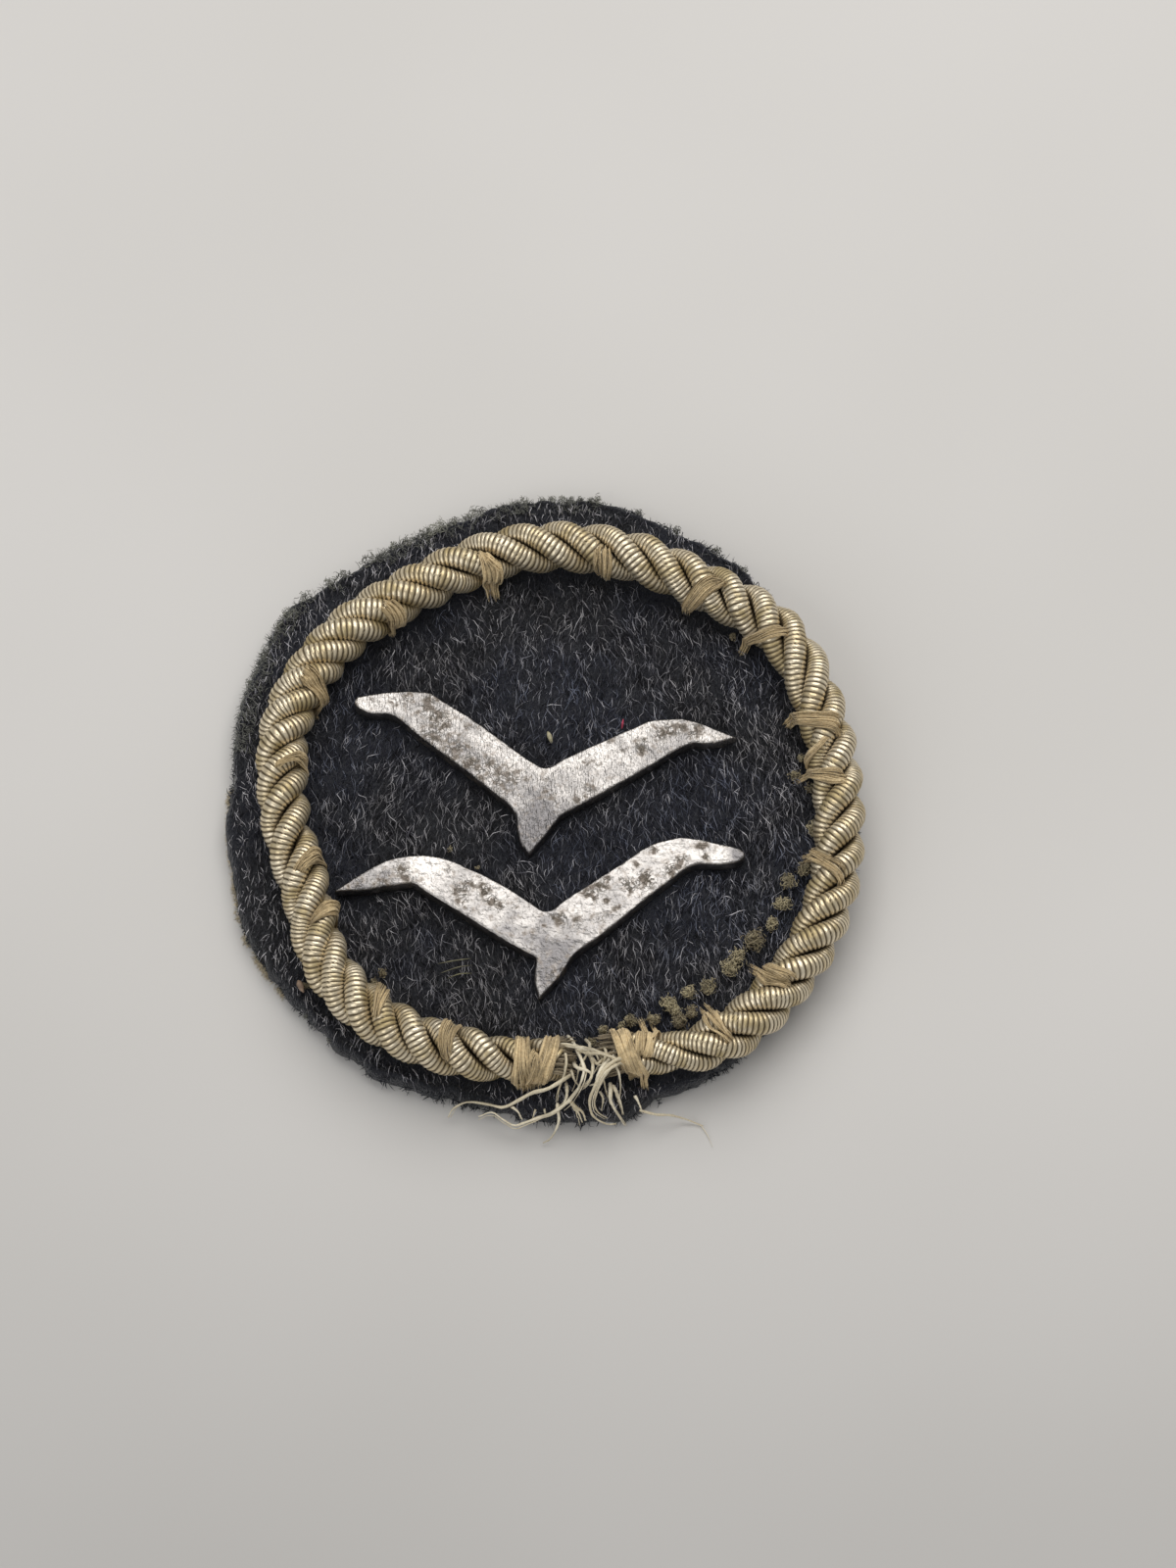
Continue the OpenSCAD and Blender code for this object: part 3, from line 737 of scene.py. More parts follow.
for node, (slot, seed, scratch_lean, grain, deep_stain, stains, polish_and_sheen_spots) in GULLS.items():
    parts = [gull_plate(node, outlines[node], seed, on_gull(node, TAIL_TIP))]
    parts += [extruded(node, root, PRONG_PROFILE, PRONG_HALF) for root in PRONG_PLACES]
    points, faces = joined(parts)
    stain = soft_spots(node, points, stains).max(axis=0)
    # The second list of spots is polished and dull wear, and also painted highlights, a glint and painted
    # shade.
    polish = soft_spots(node, points, polish_and_sheen_spots).sum(axis=0)
    metal, tree, shader = new_finish(node + "_metal", Metallic=1.0)
    stained, polished = marked(tree, "stain"), marked(tree, "polish")
    uneven = combined(tree, "MULTIPLY", patches(tree, 1.1, 10.0, 1.0, 0.3, 0.7), 0.42)
    # The face's brightness, which carries the painted highlights and shade of those spots.
    cloudy_and_sheen = combined(tree, "ADD", combined(tree, "ADD", polished, 0.22), uneven)
    face_colour = blended(tree, cloudy_and_sheen, (0.17, 0.163, 0.165), (0.61, 0.58, 0.55))
    ragged = combined(tree, "MULTIPLY", patches(tree, grain, 12.0, 1.0, 0.25, 0.75), 0.68)
    ragged = combined(tree, "ADD", ragged, combined(tree, "MULTIPLY", stained, 0.42))
    wash = stepped(tree, ragged, 0.42, 0.78, 0.0, 0.68)
    face_colour = blended(tree, wash, face_colour, (0.3, 0.258, 0.22))
    blot = stepped(tree, ragged, 0.66, 0.78, 0.0, deep_stain)
    face_colour = blended(tree, blot, face_colour, (0.145, 0.12, 0.098))
    grit = stepped(tree, stained, 0.0, 0.9, 0.28, 0.85)
    grit = combined(tree, "MULTIPLY", patches(tree, 0.24, 3.0, 1.0, 0.55, 0.66), grit)
    curls = stepped(tree, stained, 0.1, 0.9, 0.12, 0.8)
    curls = combined(tree, "MULTIPLY", cracks(tree, 0.6, 0.13, 2.2), curls)
    pits = combined(tree, "MAXIMUM", grit, curls)
    face_colour = blended(tree, pits, face_colour, (0.1, 0.088, 0.068))
    rough = stepped(tree, combined(tree, "MAXIMUM", pits, wash), 0.0, 1.0, 0.3, 0.62)
    scratches = combined(tree, "MULTIPLY", patches(tree, 0.6, 2.0, scratch_lean, 0.3, 0.7), 0.6)
    wear = combined(tree, "MULTIPLY", patches(tree, 0.45, 6.0, 1.0, 0.25, 0.75), 0.8)
    wear = combined(tree, "ADD", wear, scratches)
    wear = combined(tree, "SUBTRACT", wear, combined(tree, "MULTIPLY", pits, 0.5))
    wear = combined(tree, "SUBTRACT", wear, combined(tree, "MULTIPLY", blot, 0.3))
    dress(tree, shader, face_colour, (wear, 0.85, 0.06), rough)
    plate = make_piece(node + "_plate", points, faces, metal, slot, stain=stain, polish=polish)
    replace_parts(plate, node)


# The cord. Three strands are twisted into it, and each is a soft core that is wound in fine ribs with
# flattened wire, once silvery and now tarnished to a dull gold. The cord is laid on the felt as an open ring.
CORD_WIDTH, CORD_LIFT = 3.7, 0.05
CORD_START, CORD_END = 283.5, 629.5
PINCHED = 0.82
WHIPPED_ANGLE, SWELL_ANGLE = 9.0, 9.0
STRAND_WIDTH, STRAND_OUT = 1.64, 1.03
CROSSINGS = [
    -0.3, 1.8, 4.4, 7.0, 9.5, 11.9, 14.0, 16.5, 18.8, 21.2,
    23.7, 26.5, 29.6, 32.6, 35.0, 37.6, 40.5, 43.2, 45.9,
]
CROSSINGS_FROM, CROSSINGS_STEP = 280.0, 20
RIB_PITCH, RIB_DEPTH, RIB_STARTS, RIB_STEPS = 0.295, 0.125, 4, 5
STRAND_SIDES = 16


def crossed_at(degrees):
    """How many strands have crossed the top of the cord up to an angle."""
    step = (np.asarray(degrees, float) - CROSSINGS_FROM) / CROSSINGS_STEP
    last = len(CROSSINGS) - 1
    low = np.clip(np.floor(step).astype(int), 0, last - 1)
    return through(*(np.take(CROSSINGS, np.clip(low + k, 0, last)) for k in (-1, 0, 1, 2)), step - low)


def pinch(degrees):
    """The share of its full thickness that the cord has at an angle."""
    inside = np.minimum(degrees - CORD_START, CORD_END - degrees) - WHIPPED_ANGLE
    eased = np.clip(inside / SWELL_ANGLE, 0, 1)
    return PINCHED + (1 - PINCHED) * eased * eased * (3 - 2 * eased)


def cord_middle(degrees):
    """The middle of the cord at angles round the ring."""
    height = FELT_THICK + CORD_LIFT + CORD_WIDTH / 2 * pinch(degrees)
    return on_ring(degrees, around(RING_RADII, degrees), height)


def across_cord(degrees, lean):
    """The direction at a right angle to the cord that leans the given angle up from straight outwards."""
    turn, lean = np.radians(degrees), np.radians(lean)
    return np.stack([np.cos(lean) * np.cos(turn), np.cos(lean) * np.sin(turn), np.sin(lean)], -1)


def strand_lean(k, degrees):
    """Where strand k is round the cord at an angle round the ring."""
    return 90 - 120 * (crossed_at(degrees) - 0.5 - k)


wire, tree, shader = new_finish("tarnished_wire", Metallic=0.7)
groove, rib_tone = marked(tree, "groove"), marked(tree, "rib")
wire_colour = blended(tree, patches(tree, 4.0, 3.0), (0.65, 0.525, 0.315), (0.77, 0.66, 0.465))
tarnish = patches(tree, 1.7, 4.0, 1.0, 0.48, 0.66)
wire_colour = blended(tree, combined(tree, "MULTIPLY", rib_tone, 0.5), wire_colour, (0.95, 0.87, 0.71))
wire_colour = blended(tree, combined(tree, "MULTIPLY", tarnish, 0.8), wire_colour, (0.44, 0.345, 0.165))
# The dark groove colour goes on the rib grooves and, as painted shade, on the valleys between the strands.
wire_colour = blended(tree, stepped(tree, groove, 0.1, 0.72), wire_colour, (0.115, 0.084, 0.046))
dull = combined(tree, "MAXIMUM", stepped(tree, groove, 0.2, 0.8), combined(tree, "MULTIPLY", tarnish, 0.55))
wire_grain = patches(tree, 0.12, 2.0, 1.0, 0.3, 0.7)
dress(tree, shader, wire_colour, (wire_grain, 0.25, 0.02), stepped(tree, dull, 0.0, 1.0, 0.31, 0.7))
for k in range(3):
    rng = np.random.default_rng(71 + k)
    angles = np.arange(CORD_START, CORD_END + 0.01, 0.05)
    side_out = across_cord(angles, strand_lean(k, angles))
    route = cord_middle(angles) + side_out * (STRAND_OUT * pinch(angles))[:, None]
    length = np.concatenate([[0], np.cumsum(np.linalg.norm(np.diff(route, axis=0), axis=1))])
    heading = np.gradient(route, axis=0)
    heading /= np.linalg.norm(heading, axis=1, keepdims=True)
    rib_count = int(length[-1] / RIB_PITCH)
    rib_gaps = 1 + 0.22 * lumps(np.arange(rib_count + 1.0)[:, None] * [1, 0, 0], 2.3, 74 + k)
    rib_ends = np.concatenate([[0], np.cumsum(rib_gaps[:-1])])
    rib_ends *= length[-1] / rib_ends[-1]
    rows = np.arange(-RIB_STEPS * RIB_STARTS, RIB_STEPS * (rib_count + RIB_STARTS) + 1)
    sides = np.arange(STRAND_SIDES)
    rib = rows[:, None] / RIB_STEPS - RIB_STARTS * sides[None] / STRAND_SIDES
    phase = np.abs(rib - np.round(rib)) * 2
    beyond = (rib <= 0) | (rib >= rib_count)
    deep = np.where(beyond, 1.0, 1 - np.sin(phase * np.pi / 2) ** 0.8)
    s = np.interp(np.clip(rib, 0, rib_count), np.arange(rib_count + 1), rib_ends)
    centre, out, ahead = (
        np.stack([np.interp(s, length, track[:, i]) for i in range(3)], -1)
        for track in (route, side_out, heading)
    )
    out -= ahead * np.sum(out * ahead, axis=-1, keepdims=True)
    out /= np.linalg.norm(out, axis=-1, keepdims=True)
    third = np.cross(ahead, out)
    turn = (sides * 2 * np.pi / STRAND_SIDES)[None, :, None]
    ring_share = np.interp(s, length, pinch(angles))
    uneven = 1 + 0.03 * lumps(centre.reshape(-1, 3), 1.7, 77 + k).reshape(s.shape)
    proud = rng.normal(0, 0.012, rib_count + 3)[np.clip(np.round(rib).astype(int), 0, rib_count) + 1]
    radius = (STRAND_WIDTH / 2 * uneven - RIB_DEPTH * deep + proud * (1 - deep)) * ring_share
    points = centre + (out * np.cos(turn) + third * np.sin(turn)) * radius[..., None]
    wander = 0.06 * lumps(points.reshape(-1, 3), 0.8, 70 + k).reshape(s.shape) * ~beyond
    points += ahead * wander[..., None]
    # Painted shade: the side of each strand that faces into the cord, down where the strands lie together,
    # takes the groove colour.
    dirt_and_valley_shade = 0.8 * np.clip((0.08 - np.cos(turn[..., 0])) / 0.5, 0, 1)
    index = np.arange(points.shape[0] * STRAND_SIDES).reshape(-1, STRAND_SIDES)
    # The ribs lie aslant, so each side of the strand starts and ends at a row of its own. Flat ends close it.
    first = np.argmax(rib > 0, axis=0) - 1
    last = np.argmax(rib >= rib_count, axis=0)
    index = index[np.clip(np.arange(len(rows))[:, None], first, last), sides]
    wrap = np.roll(index[:, 0], RIB_STEPS * RIB_STARTS)
    turned = np.concatenate([index[:, 1:], wrap[:, None]], axis=1)
    quads = np.stack([index[:-1], turned[:-1], turned[1:], index[1:]], -1)
    quads = quads[RIB_STEPS * RIB_STARTS:].reshape(-1, 4)
    low, high = rib.ravel()[quads].min(axis=1), rib.ravel()[quads].max(axis=1)
    quads = quads[(high > 0) & (low < rib_count)]
    at_start, at_end = quads[:, 1] == quads[:, 2], quads[:, 0] == quads[:, 3]
    threes = np.concatenate([quads[at_start][:, [0, 1, 3]], quads[at_end][:, :3]])
    closed_ends = np.stack([index[0, ::-1], index[-1]])
    faces = [quads[~(at_start | at_end)], threes, closed_ends]
    used = np.unique(np.concatenate([group.ravel() for group in faces]))
    faces = [np.searchsorted(used, group) for group in faces]
    tone = rng.uniform(0, 1, rib_count + 3)[np.clip(np.floor(rib).astype(int), 0, rib_count) + 1]
    strand = make_piece(
        f"wire_strand_{k + 1}", points.reshape(-1, 3)[used], faces, wire, f"wire_cord_{k + 1}",
        groove=np.maximum(deep, dirt_and_valley_shade).ravel()[used], rib=tone.ravel()[used]
    )
    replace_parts(strand, f"strand_{k + 1}")


# The sewing thread over the two ends of the cord. Tan thread, soft and flattened, is wound over each end
# from the felt inside the ring to the felt outside it, in bands that fan out.
MEAN_RADIUS, GAP_FROM = 19.6, 275
CORD_WAIST, STRAND_SLANT = 0.72, 1.34
FIBRE, PLY, BAND_STEPS = 0.085, 0.36, 15


def cord_reach(degrees, lean):
    """How far the outside of the twisted strands is from the middle of the cord."""
    strand_r = STRAND_WIDTH / 2
    slanted = strand_r * STRAND_SLANT
    reach = np.full(np.shape(lean), 0.5 * CORD_WIDTH * CORD_WAIST)
    for k in range(3):
        off = np.radians(lean - strand_lean(k, degrees))
        a = (np.cos(off) / strand_r) ** 2 + (np.sin(off) / slanted) ** 2
        b = STRAND_OUT * np.cos(off) / strand_r**2
        c = (STRAND_OUT / strand_r) ** 2 - 1
        hit = b * b - a * c
        reach = np.maximum(reach, np.where(hit > 0, (b + np.sqrt(np.maximum(hit, 0))) / a, 0))
    return reach * pinch(degrees)


def thread_band(rng, stations, feet, clean=0.15):
    """Fine fibres in a flat bundle over the cord, as (paths, widths, tones). Each station is (angle round the
    ring, lean round the cord, width of the bundle), feet says how far each end runs out on the felt, or is
    None where it comes up between the strands, and clean is added to its tones."""
    t = np.linspace(0, 1, BAND_STEPS)
    tracks = np.array([np.interp(t, np.linspace(0, 1, len(stations)), values) for values in zip(*stations)])
    for _ in range(3):
        tracks[:, 1:-1] = (tracks[:, :-2] + 2 * tracks[:, 1:-1] + tracks[:, 2:]) / 4
    angles, leans, wide = tracks
    count = max(12, round(2.3 * wide.max() / FIBRE))
    plies = max(2, round(wide.max() / PLY))
    share = (rng.permutation(count) + rng.uniform(0.1, 0.9, count))[:, None] / count
    ply = np.floor(share * plies)
    aside = share * plies - ply - 0.5
    slant = 0.16 * rng.normal(0, 1, plies)[ply.astype(int)] * (2 * t - 1) * (plies > 2)
    spread = (share - 0.5 - 0.18 * aside / plies) * wide + slant
    sway = 0.06 * rng.normal(0, 1, (count, 1)) * np.sin(5 * t + rng.uniform(0, 6, (count, 1)))
    degrees = angles + np.degrees((spread + sway) / MEAN_RADIUS)
    degrees = degrees + 360 * (degrees < GAP_FROM)
    leans = leans + rng.normal(0, 4, (count, 1)) + 5 * rng.normal(0, 1, plies)[ply.astype(int)]
    reach = cord_reach(degrees, leans)
    slack = reach.copy()
    for _ in range(3):
        slack[:, 1:-1] = np.maximum(reach[:, 1:-1], (slack[:, :-2] + slack[:, 1:-1] + slack[:, 2:]) / 3)
    layer = rng.uniform(0, 1, (count, 1))
    bulge = 0.16 * np.cos(np.pi * aside) ** 2 * (0.7 + 0.3 * np.sin(9 * t + 2 * ply))
    piled = 0.2 * np.clip(wide.max() - wide, 0, None)
    reach = slack + 0.03 + bulge + layer * (0.07 + piled)
    for side, foot in zip((0, -1), feet):
        if foot is None:
            reach[:, side] -= 0.7
            reach[:, 1 if side == 0 else -2] -= 0.15
    out = across_cord(degrees, leans)
    runs = [cord_middle(degrees) + out * reach[..., None]]
    for side, foot in zip((0, -1), feet):
        if foot is None:
            continue
        last = runs[0 if side == 0 else -1][:, side]
        angle, far = ring_places(last)
        middle = np.degrees(np.angle(np.exp(1j * np.radians(angle)).mean()))
        fanned = 0.7 * ((angle - middle + 180) % 360 - 180)
        angle = middle + fanned + np.degrees(rng.normal(0, 0.05, count) / MEAN_RADIUS)
        away = 1 if math.cos(math.radians(stations[side][1])) > 0 else -1
        length = foot * rng.uniform(0.75, 1.15, count) * away
        foot_path = np.stack([
            on_ring(angle, far + 0.2 * length, 0.4 * last[:, 2] + 0.6 * FELT_THICK + 0.1),
            on_ring(angle, far + 0.65 * length, FELT_THICK + 0.14),
            on_ring(angle, far + length, FELT_THICK - 0.25),
        ], axis=1)
        runs = [foot_path[:, ::-1], *runs] if side == 0 else [*runs, foot_path]
    paths = np.concatenate(runs, axis=1)
    under = np.where(layer < 0.2, 2.0, 1.0)
    widths = np.full(paths.shape[:2], FIBRE) * rng.uniform(0.75, 1.25, (count, 1)) * under
    tones = 0.5 * rng.uniform(0, 1, plies)[ply[:, 0].astype(int)] + 0.5 * rng.uniform(0, 1, count)
    # Painted shade: the fibres at both sides of each ply are darker, where the gaps between the plies lie.
    tones += clean - 0.35 * (2 * np.abs(aside[:, 0])) ** 3
    return paths, widths, tones


def thread_finish(name, dark, light, roughness=0.8):
    """The finish of sewing thread: soft fibres, each thread of its own tone, with darker patches of dirt."""
    material, tree, shader = new_finish(
        name, Roughness=roughness, Specular_IOR_Level=0.3, Sheen_Weight=0.2, Sheen_Roughness=0.4
    )
    streak = patches(tree, 0.16, 3.0, 1.0, 0.3, 0.7)
    share = combined(tree, "MULTIPLY", marked(tree, "tone"), 0.65)
    share = combined(tree, "ADD", share, combined(tree, "MULTIPLY", streak, 0.35))
    colour = blended(tree, share, dark, light)
    dirt_and_valley_shade = stepped(tree, patches(tree, 1.6, 4.0), 0.55, 1.0, 0.0, 0.45)
    colour = blended(tree, dirt_and_valley_shade, colour, times(0.55, dark))
    dress(tree, shader, colour, (streak, 0.5, 0.03))
    return material


tan_thread = thread_finish("tan_sewing_thread", (0.31, 0.226, 0.115), (0.86, 0.68, 0.4))
WHIPPINGS = {
    # node: (seed, bands of thread, each as thread_band takes it)
    "whipping_left": (81, [
        ([(261.2, 210, 1.0), (262.0, 100, 1.05), (262.4, 50, 1.2), (262.7, 10, 1.35), (262.7, -38, 1.4)],
         (0.3, 0.15)),
        ([(268.1, 210, 1.1), (267.8, 126, 1.35), (267.1, 80, 1.3), (265.9, 36, 1.2), (264.6, -36, 1.1)],
         (0.3, 0.15)),
        ([(264.9, 94, 0.5), (264.9, 62, 1.1), (264.5, 20, 1.4), (263.9, -36, 1.2)], (None, 0.15)),
    ]),
    "whipping_right": (82, [
        ([(282.3, 210, 1.1), (282.7, 118, 1.15), (282.9, 60, 1.2), (284.0, 6, 1.35), (284.3, -36, 1.3)],
         (0.3, 0.2), 0.35),
        ([(289.7, 210, 1.0), (289.2, 165, 1.1), (287.4, 106, 1.4), (285.9, 50, 1.2)], (1.9, None), 0.3),
        ([(284.4, 190, 0.4), (283.8, 100, 0.6), (284.4, 40, 0.7), (285.6, -14, 0.6)], (0.3, 0.5)),
    ]),
}
for node, (seed, bands) in WHIPPINGS.items():
    rng = np.random.default_rng(seed)
    runs = [thread_band(rng, *band) for band in bands]
    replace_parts(thread_piece(node + "_thread", runs, 4, tan_thread), node)


# The stitches that hold the ring down. Each is a flat bundle of the same tan thread that comes up between two
# strands on top of the cord, spreads over one strand and goes down into the felt inside the ring.
STITCHES = [
    # the band's places as thread_band takes them, how far it runs out on the felt, and how clean it is
    ([(106.9, 96, 0.5), (105.6, 145, 1.75), (106.5, 208, 1.3)], 0.8, 0.4),
    ([(82.0, 106, 0.6), (81.0, 148, 1.5), (80.4, 228, 1.3)], 0.1, -0.1),
    ([(55.8, 76, 0.8), (57.9, 116, 1.4), (61.0, 228, 0.95)], 0.15, -0.1),
    ([(38.8, 92, 0.9), (41.2, 140, 0.9), (44.8, 208, 0.8)], 0.5, 0.1),
    ([(15.6, 56, 1.6), (18.0, 112, 1.0), (23.4, 208, 0.6)], 0.7, 0.05),
    ([(3.8, 68, 1.1), (4.9, 126, 0.95), (9.2, 208, 0.9)], 1.0, 0.1),
    ([(12.9, 104, 0.5), (11.2, 136, 0.8), (9.9, 228, 0.6)], 0.1, 0.0),
    ([(341.8, 68, 1.2), (344.9, 132, 0.95), (349.0, 208, 0.9)], 1.0, 0.0),
    ([(318.3, 62, 0.9), (316.4, 126, 1.55), (318.6, 208, 0.9)], 1.5, 0.05),
    ([(302.6, 54, 0.35), (301.2, 124, 1.25), (303.4, 208, 1.0)], 1.8, 0.15),
    ([(130.2, 106, 0.9), (129.6, 150, 1.5), (130.6, 228, 1.2)], 0.1, -0.1),
    ([(152.3, 92, 1.4), (153.8, 136, 1.3), (156.2, 228, 0.9)], 0.1, -0.25),
    ([(173.6, 76, 0.45), (170.3, 128, 1.05), (171.8, 228, 0.7)], 0.1, -0.2),
    ([(197.6, 82, 0.45), (193.9, 140, 1.25), (195.3, 228, 0.7)], 0.3, -0.25),
    ([(208.9, 82, 0.55), (207.6, 134, 1.5), (208.3, 228, 0.7)], 0.3, -0.2),
    ([(233.0, 68, 0.35), (230.2, 122, 1.0), (227.0, 208, 1.1)], 0.7, -0.05),
    ([(248.4, 50, 0.35), (246.3, 96, 1.1), (245.2, 228, 1.5)], 0.2, 0.0),
]
rng = np.random.default_rng(91)
runs = [thread_band(rng, stations, (None, foot), clean) for stations, foot, clean in STITCHES]
thread_piece("holding_stitches", runs, 3, tan_thread)


# The frayed ends. Between the two windings the cord is cut off, its soft cores show as grey-tan fibres, and
# pale ends of thread stand out of them, curl, and run out over the edge of the felt onto the table.
def smooth_path(stations, steps):
    """A smooth path in even steps through a few points given from the ring's middle."""
    stations = np.array(stations, float) + [*RING_CENTRE, 0]
    ends = np.concatenate([[2 * stations[0] - stations[1]], stations, [2 * stations[-1] - stations[-2]]])
    spot = np.linspace(0, len(stations) - 1 - 1e-6, steps)
    low = spot.astype(int)
    return through(*(ends[low + k] for k in range(4)), (spot - low)[:, None])


FRAYED_STEPS = 26
TWO_PLY_FROM = 0.16
FRAYED = [
    # width, then the points that the thread follows, from the ring's middle, in millimetres
    (0.27, [(0.6, -20.3, 3.9), (-0.9, -21.4, 4.2), (-2.0, -21.4, 3.4), (-3.0, -21.7, 2.7), (-4.0, -22.0, 2.2),
            (-4.9, -21.8, 2.1), (-6.4, -21.5, 1.9), (-7.4, -21.7, 1.3), (-7.8, -22.2, 0.8)]),
    (0.25, [(1.2, -21.1, 3.6), (0.4, -21.9, 3.0), (-0.6, -22.5, 2.5), (-1.7, -22.8, 2.2), (-2.6, -23.0, 1.8),
            (-3.3, -23.1, 1.6), (-4.1, -22.7, 1.8), (-4.8, -22.3, 2.0), (-5.7, -22.5, 1.7)]),
    (0.27, [(0.4, -16.7, 2.0), (0.8, -17.8, 3.4), (1.2, -19.0, 4.3), (1.5, -20.1, 4.7), (1.4, -20.8, 4.6),
            (1.1, -21.4, 4.1), (0.6, -21.9, 3.2), (0.0, -22.1, 2.4)]),
    (0.26, [(0.6, -17.2, 2.2), (1.0, -18.4, 4.0), (1.8, -19.1, 4.9), (2.6, -19.2, 5.1), (3.4, -19.4, 4.9),
            (4.2, -19.7, 4.4)]),
    (0.28, [(-0.7, -18.4, 3.2), (-0.1, -18.2, 4.2), (0.8, -18.6, 4.9), (1.8, -18.8, 5.0), (2.7, -19.1, 5.0),
            (3.7, -19.4, 4.7), (4.3, -19.5, 4.2)]),
    (0.29, [(4.2, -19.3, 4.3), (3.8, -19.5, 4.8), (3.1, -20.1, 5.0), (2.6, -20.8, 4.9), (2.2, -21.5, 4.5),
            (1.9, -22.1, 3.8), (2.0, -22.7, 3.0), (2.4, -23.0, 2.5), (3.1, -23.2, 2.1), (3.7, -23.1, 1.9)]),
    (0.24, [(4.0, -19.7, 4.6), (3.3, -20.3, 5.1), (2.8, -20.9, 4.8), (2.4, -21.6, 4.2), (2.2, -22.2, 3.4),
            (2.5, -22.6, 2.7), (3.1, -22.8, 2.2)]),
    (0.26, [(3.2, -19.3, 4.2), (2.7, -20.2, 4.9), (2.4, -20.8, 4.7), (2.3, -21.0, 4.1), (1.9, -20.8, 3.2)]),
    (0.24, [(0.7, -19.0, 3.2), (1.0, -19.9, 4.3), (1.6, -20.3, 4.8), (2.0, -20.5, 4.5), (1.8, -21.0, 4.0),
            (1.4, -21.1, 3.2)]),
    (0.24, [(2.0, -18.7, 3.2), (2.4, -19.7, 4.5), (2.8, -19.3, 4.3), (2.6, -19.8, 3.2)]),
    (0.22, [(0.6, -19.6, 3.2), (0.7, -20.2, 4.0), (0.9, -20.7, 3.8), (1.3, -20.9, 3.0)]),
    (0.25, [(1.8, -18.3, 2.8), (2.1, -19.6, 4.3), (2.0, -20.7, 4.5), (1.6, -21.1, 4.0), (1.2, -20.9, 3.2)]),
    (0.22, [(-0.2, -17.6, 2.1), (0.0, -18.3, 3.9), (0.3, -19.3, 4.6), (0.2, -20.3, 4.2), (-0.2, -21.1, 3.2),
            (-0.3, -21.6, 2.3)]),
    (0.2, [(1.6, -17.0, 2.1), (1.9, -18.0, 3.6), (1.7, -19.0, 4.4), (1.2, -19.8, 4.1), (1.0, -20.4, 3.2),
            (0.7, -20.9, 2.4)]),
    (0.2, [(2.6, -17.5, 2.1), (2.9, -18.4, 4.0), (3.0, -19.0, 4.4), (2.7, -19.9, 4.1), (2.9, -20.7, 3.2),
            (3.1, -21.3, 2.3)]),
    (0.22, [(3.4, -17.6, 2.1), (3.6, -18.4, 3.9), (3.5, -19.3, 4.3), (3.9, -20.2, 3.9), (4.0, -21.0, 3.0),
            (3.8, -21.6, 2.2)]),
    (0.18, [(0.9, -17.4, 2.0), (1.3, -18.2, 3.2), (2.2, -18.6, 3.8), (2.5, -19.4, 3.7), (2.0, -20.1, 3.1),
            (1.4, -20.5, 2.3)]),
    (0.24, [(0.3, -20.6, 3.0), (0.35, -21.2, 3.5), (0.3, -21.7, 3.2), (0.0, -22.1, 2.6), (-0.5, -22.4, 2.2)]),
    (0.24, [(-0.3, -21.8, 2.4), (-0.3, -22.2, 2.4), (-0.2, -22.8, 2.0), (-0.4, -23.3, 1.4),
            (-0.8, -23.7, 0.7), (-1.3, -23.9, 0.35)]),
    (0.27, [(0.5, -21.7, 2.9), (0.9, -22.1, 2.6), (1.4, -22.4, 2.3), (1.6, -22.9, 2.0)]),
    (0.2, [(0.6, -21.8, 2.7), (1.1, -22.4, 2.3), (1.4, -23.0, 1.9)]),
    (0.27, [(3.3, -20.6, 3.0), (3.3, -21.3, 3.4), (3.3, -21.8, 3.1), (3.6, -22.3, 2.6), (4.0, -22.8, 2.1),
            (4.3, -23.2, 1.8)]),
    (0.24, [(3.5, -20.8, 3.1), (3.7, -21.3, 3.4), (4.0, -21.9, 2.8), (4.2, -22.5, 2.1)]),
    (0.2, [(5.0, -21.4, 2.8), (5.2, -21.7, 2.5), (5.5, -22.3, 2.0)]),
    (0.17, [(-3.4, -22.0, 2.3), (-3.0, -22.3, 2.1), (-2.7, -22.8, 1.9)]),
    (0.15, [(-1.8, -22.2, 2.3), (-2.0, -22.7, 2.0)]),
    (0.15, [(-1.2, -22.2, 2.4), (-1.1, -22.7, 2.1)]),
    (0.17, [(2.6, -21.0, 2.5), (2.8, -21.6, 2.8), (2.7, -22.2, 2.1)]),
    (0.19, [(5.3, -22.1, 1.9), (6.4, -22.3, 1.6), (7.4, -22.2, 1.2), (8.3, -22.2, 0.6), (9.1, -22.4, 0.3),
            (9.7, -22.6, 0.2)]),
    (0.06, [(9.5, -22.5, 0.2), (10.0, -23.3, 0.1), (10.3, -24.1, 0.1)]),
]
rng = np.random.default_rng(101)
runs = []
for width, stations in FRAYED:
    path = smooth_path(stations, FRAYED_STEPS)
    path[:, 2] = np.maximum(path[:, 2], width / 2 + 0.02)
    flow = np.linspace(0, 1, FRAYED_STEPS)
    taper = np.clip(1.25 - flow, 0.35, 1) * (1 + 0.12 * np.sin(flow * 40 + rng.uniform(0, 6)))
    runs.append((path[None], (width * taper)[None], rng.uniform(0, 1, 1)))
    if width > TWO_PLY_FROM:
        shift = np.cumsum(rng.normal(0, 0.018, (FRAYED_STEPS, 3)), axis=0) + rng.normal(0, 0.05, 3)
        runs.append(((path + shift)[None], (0.45 * width * taper)[None], rng.uniform(0, 1, 1)))
for path, width, tone in runs:
    path[..., 2] = np.maximum(path[..., 2], width / 2)
pale_thread = thread_finish("pale_frayed_thread", (0.52, 0.44, 0.29), (0.88, 0.81, 0.64), 0.5)
thread_piece("frayed_threads", runs, 7, pale_thread)


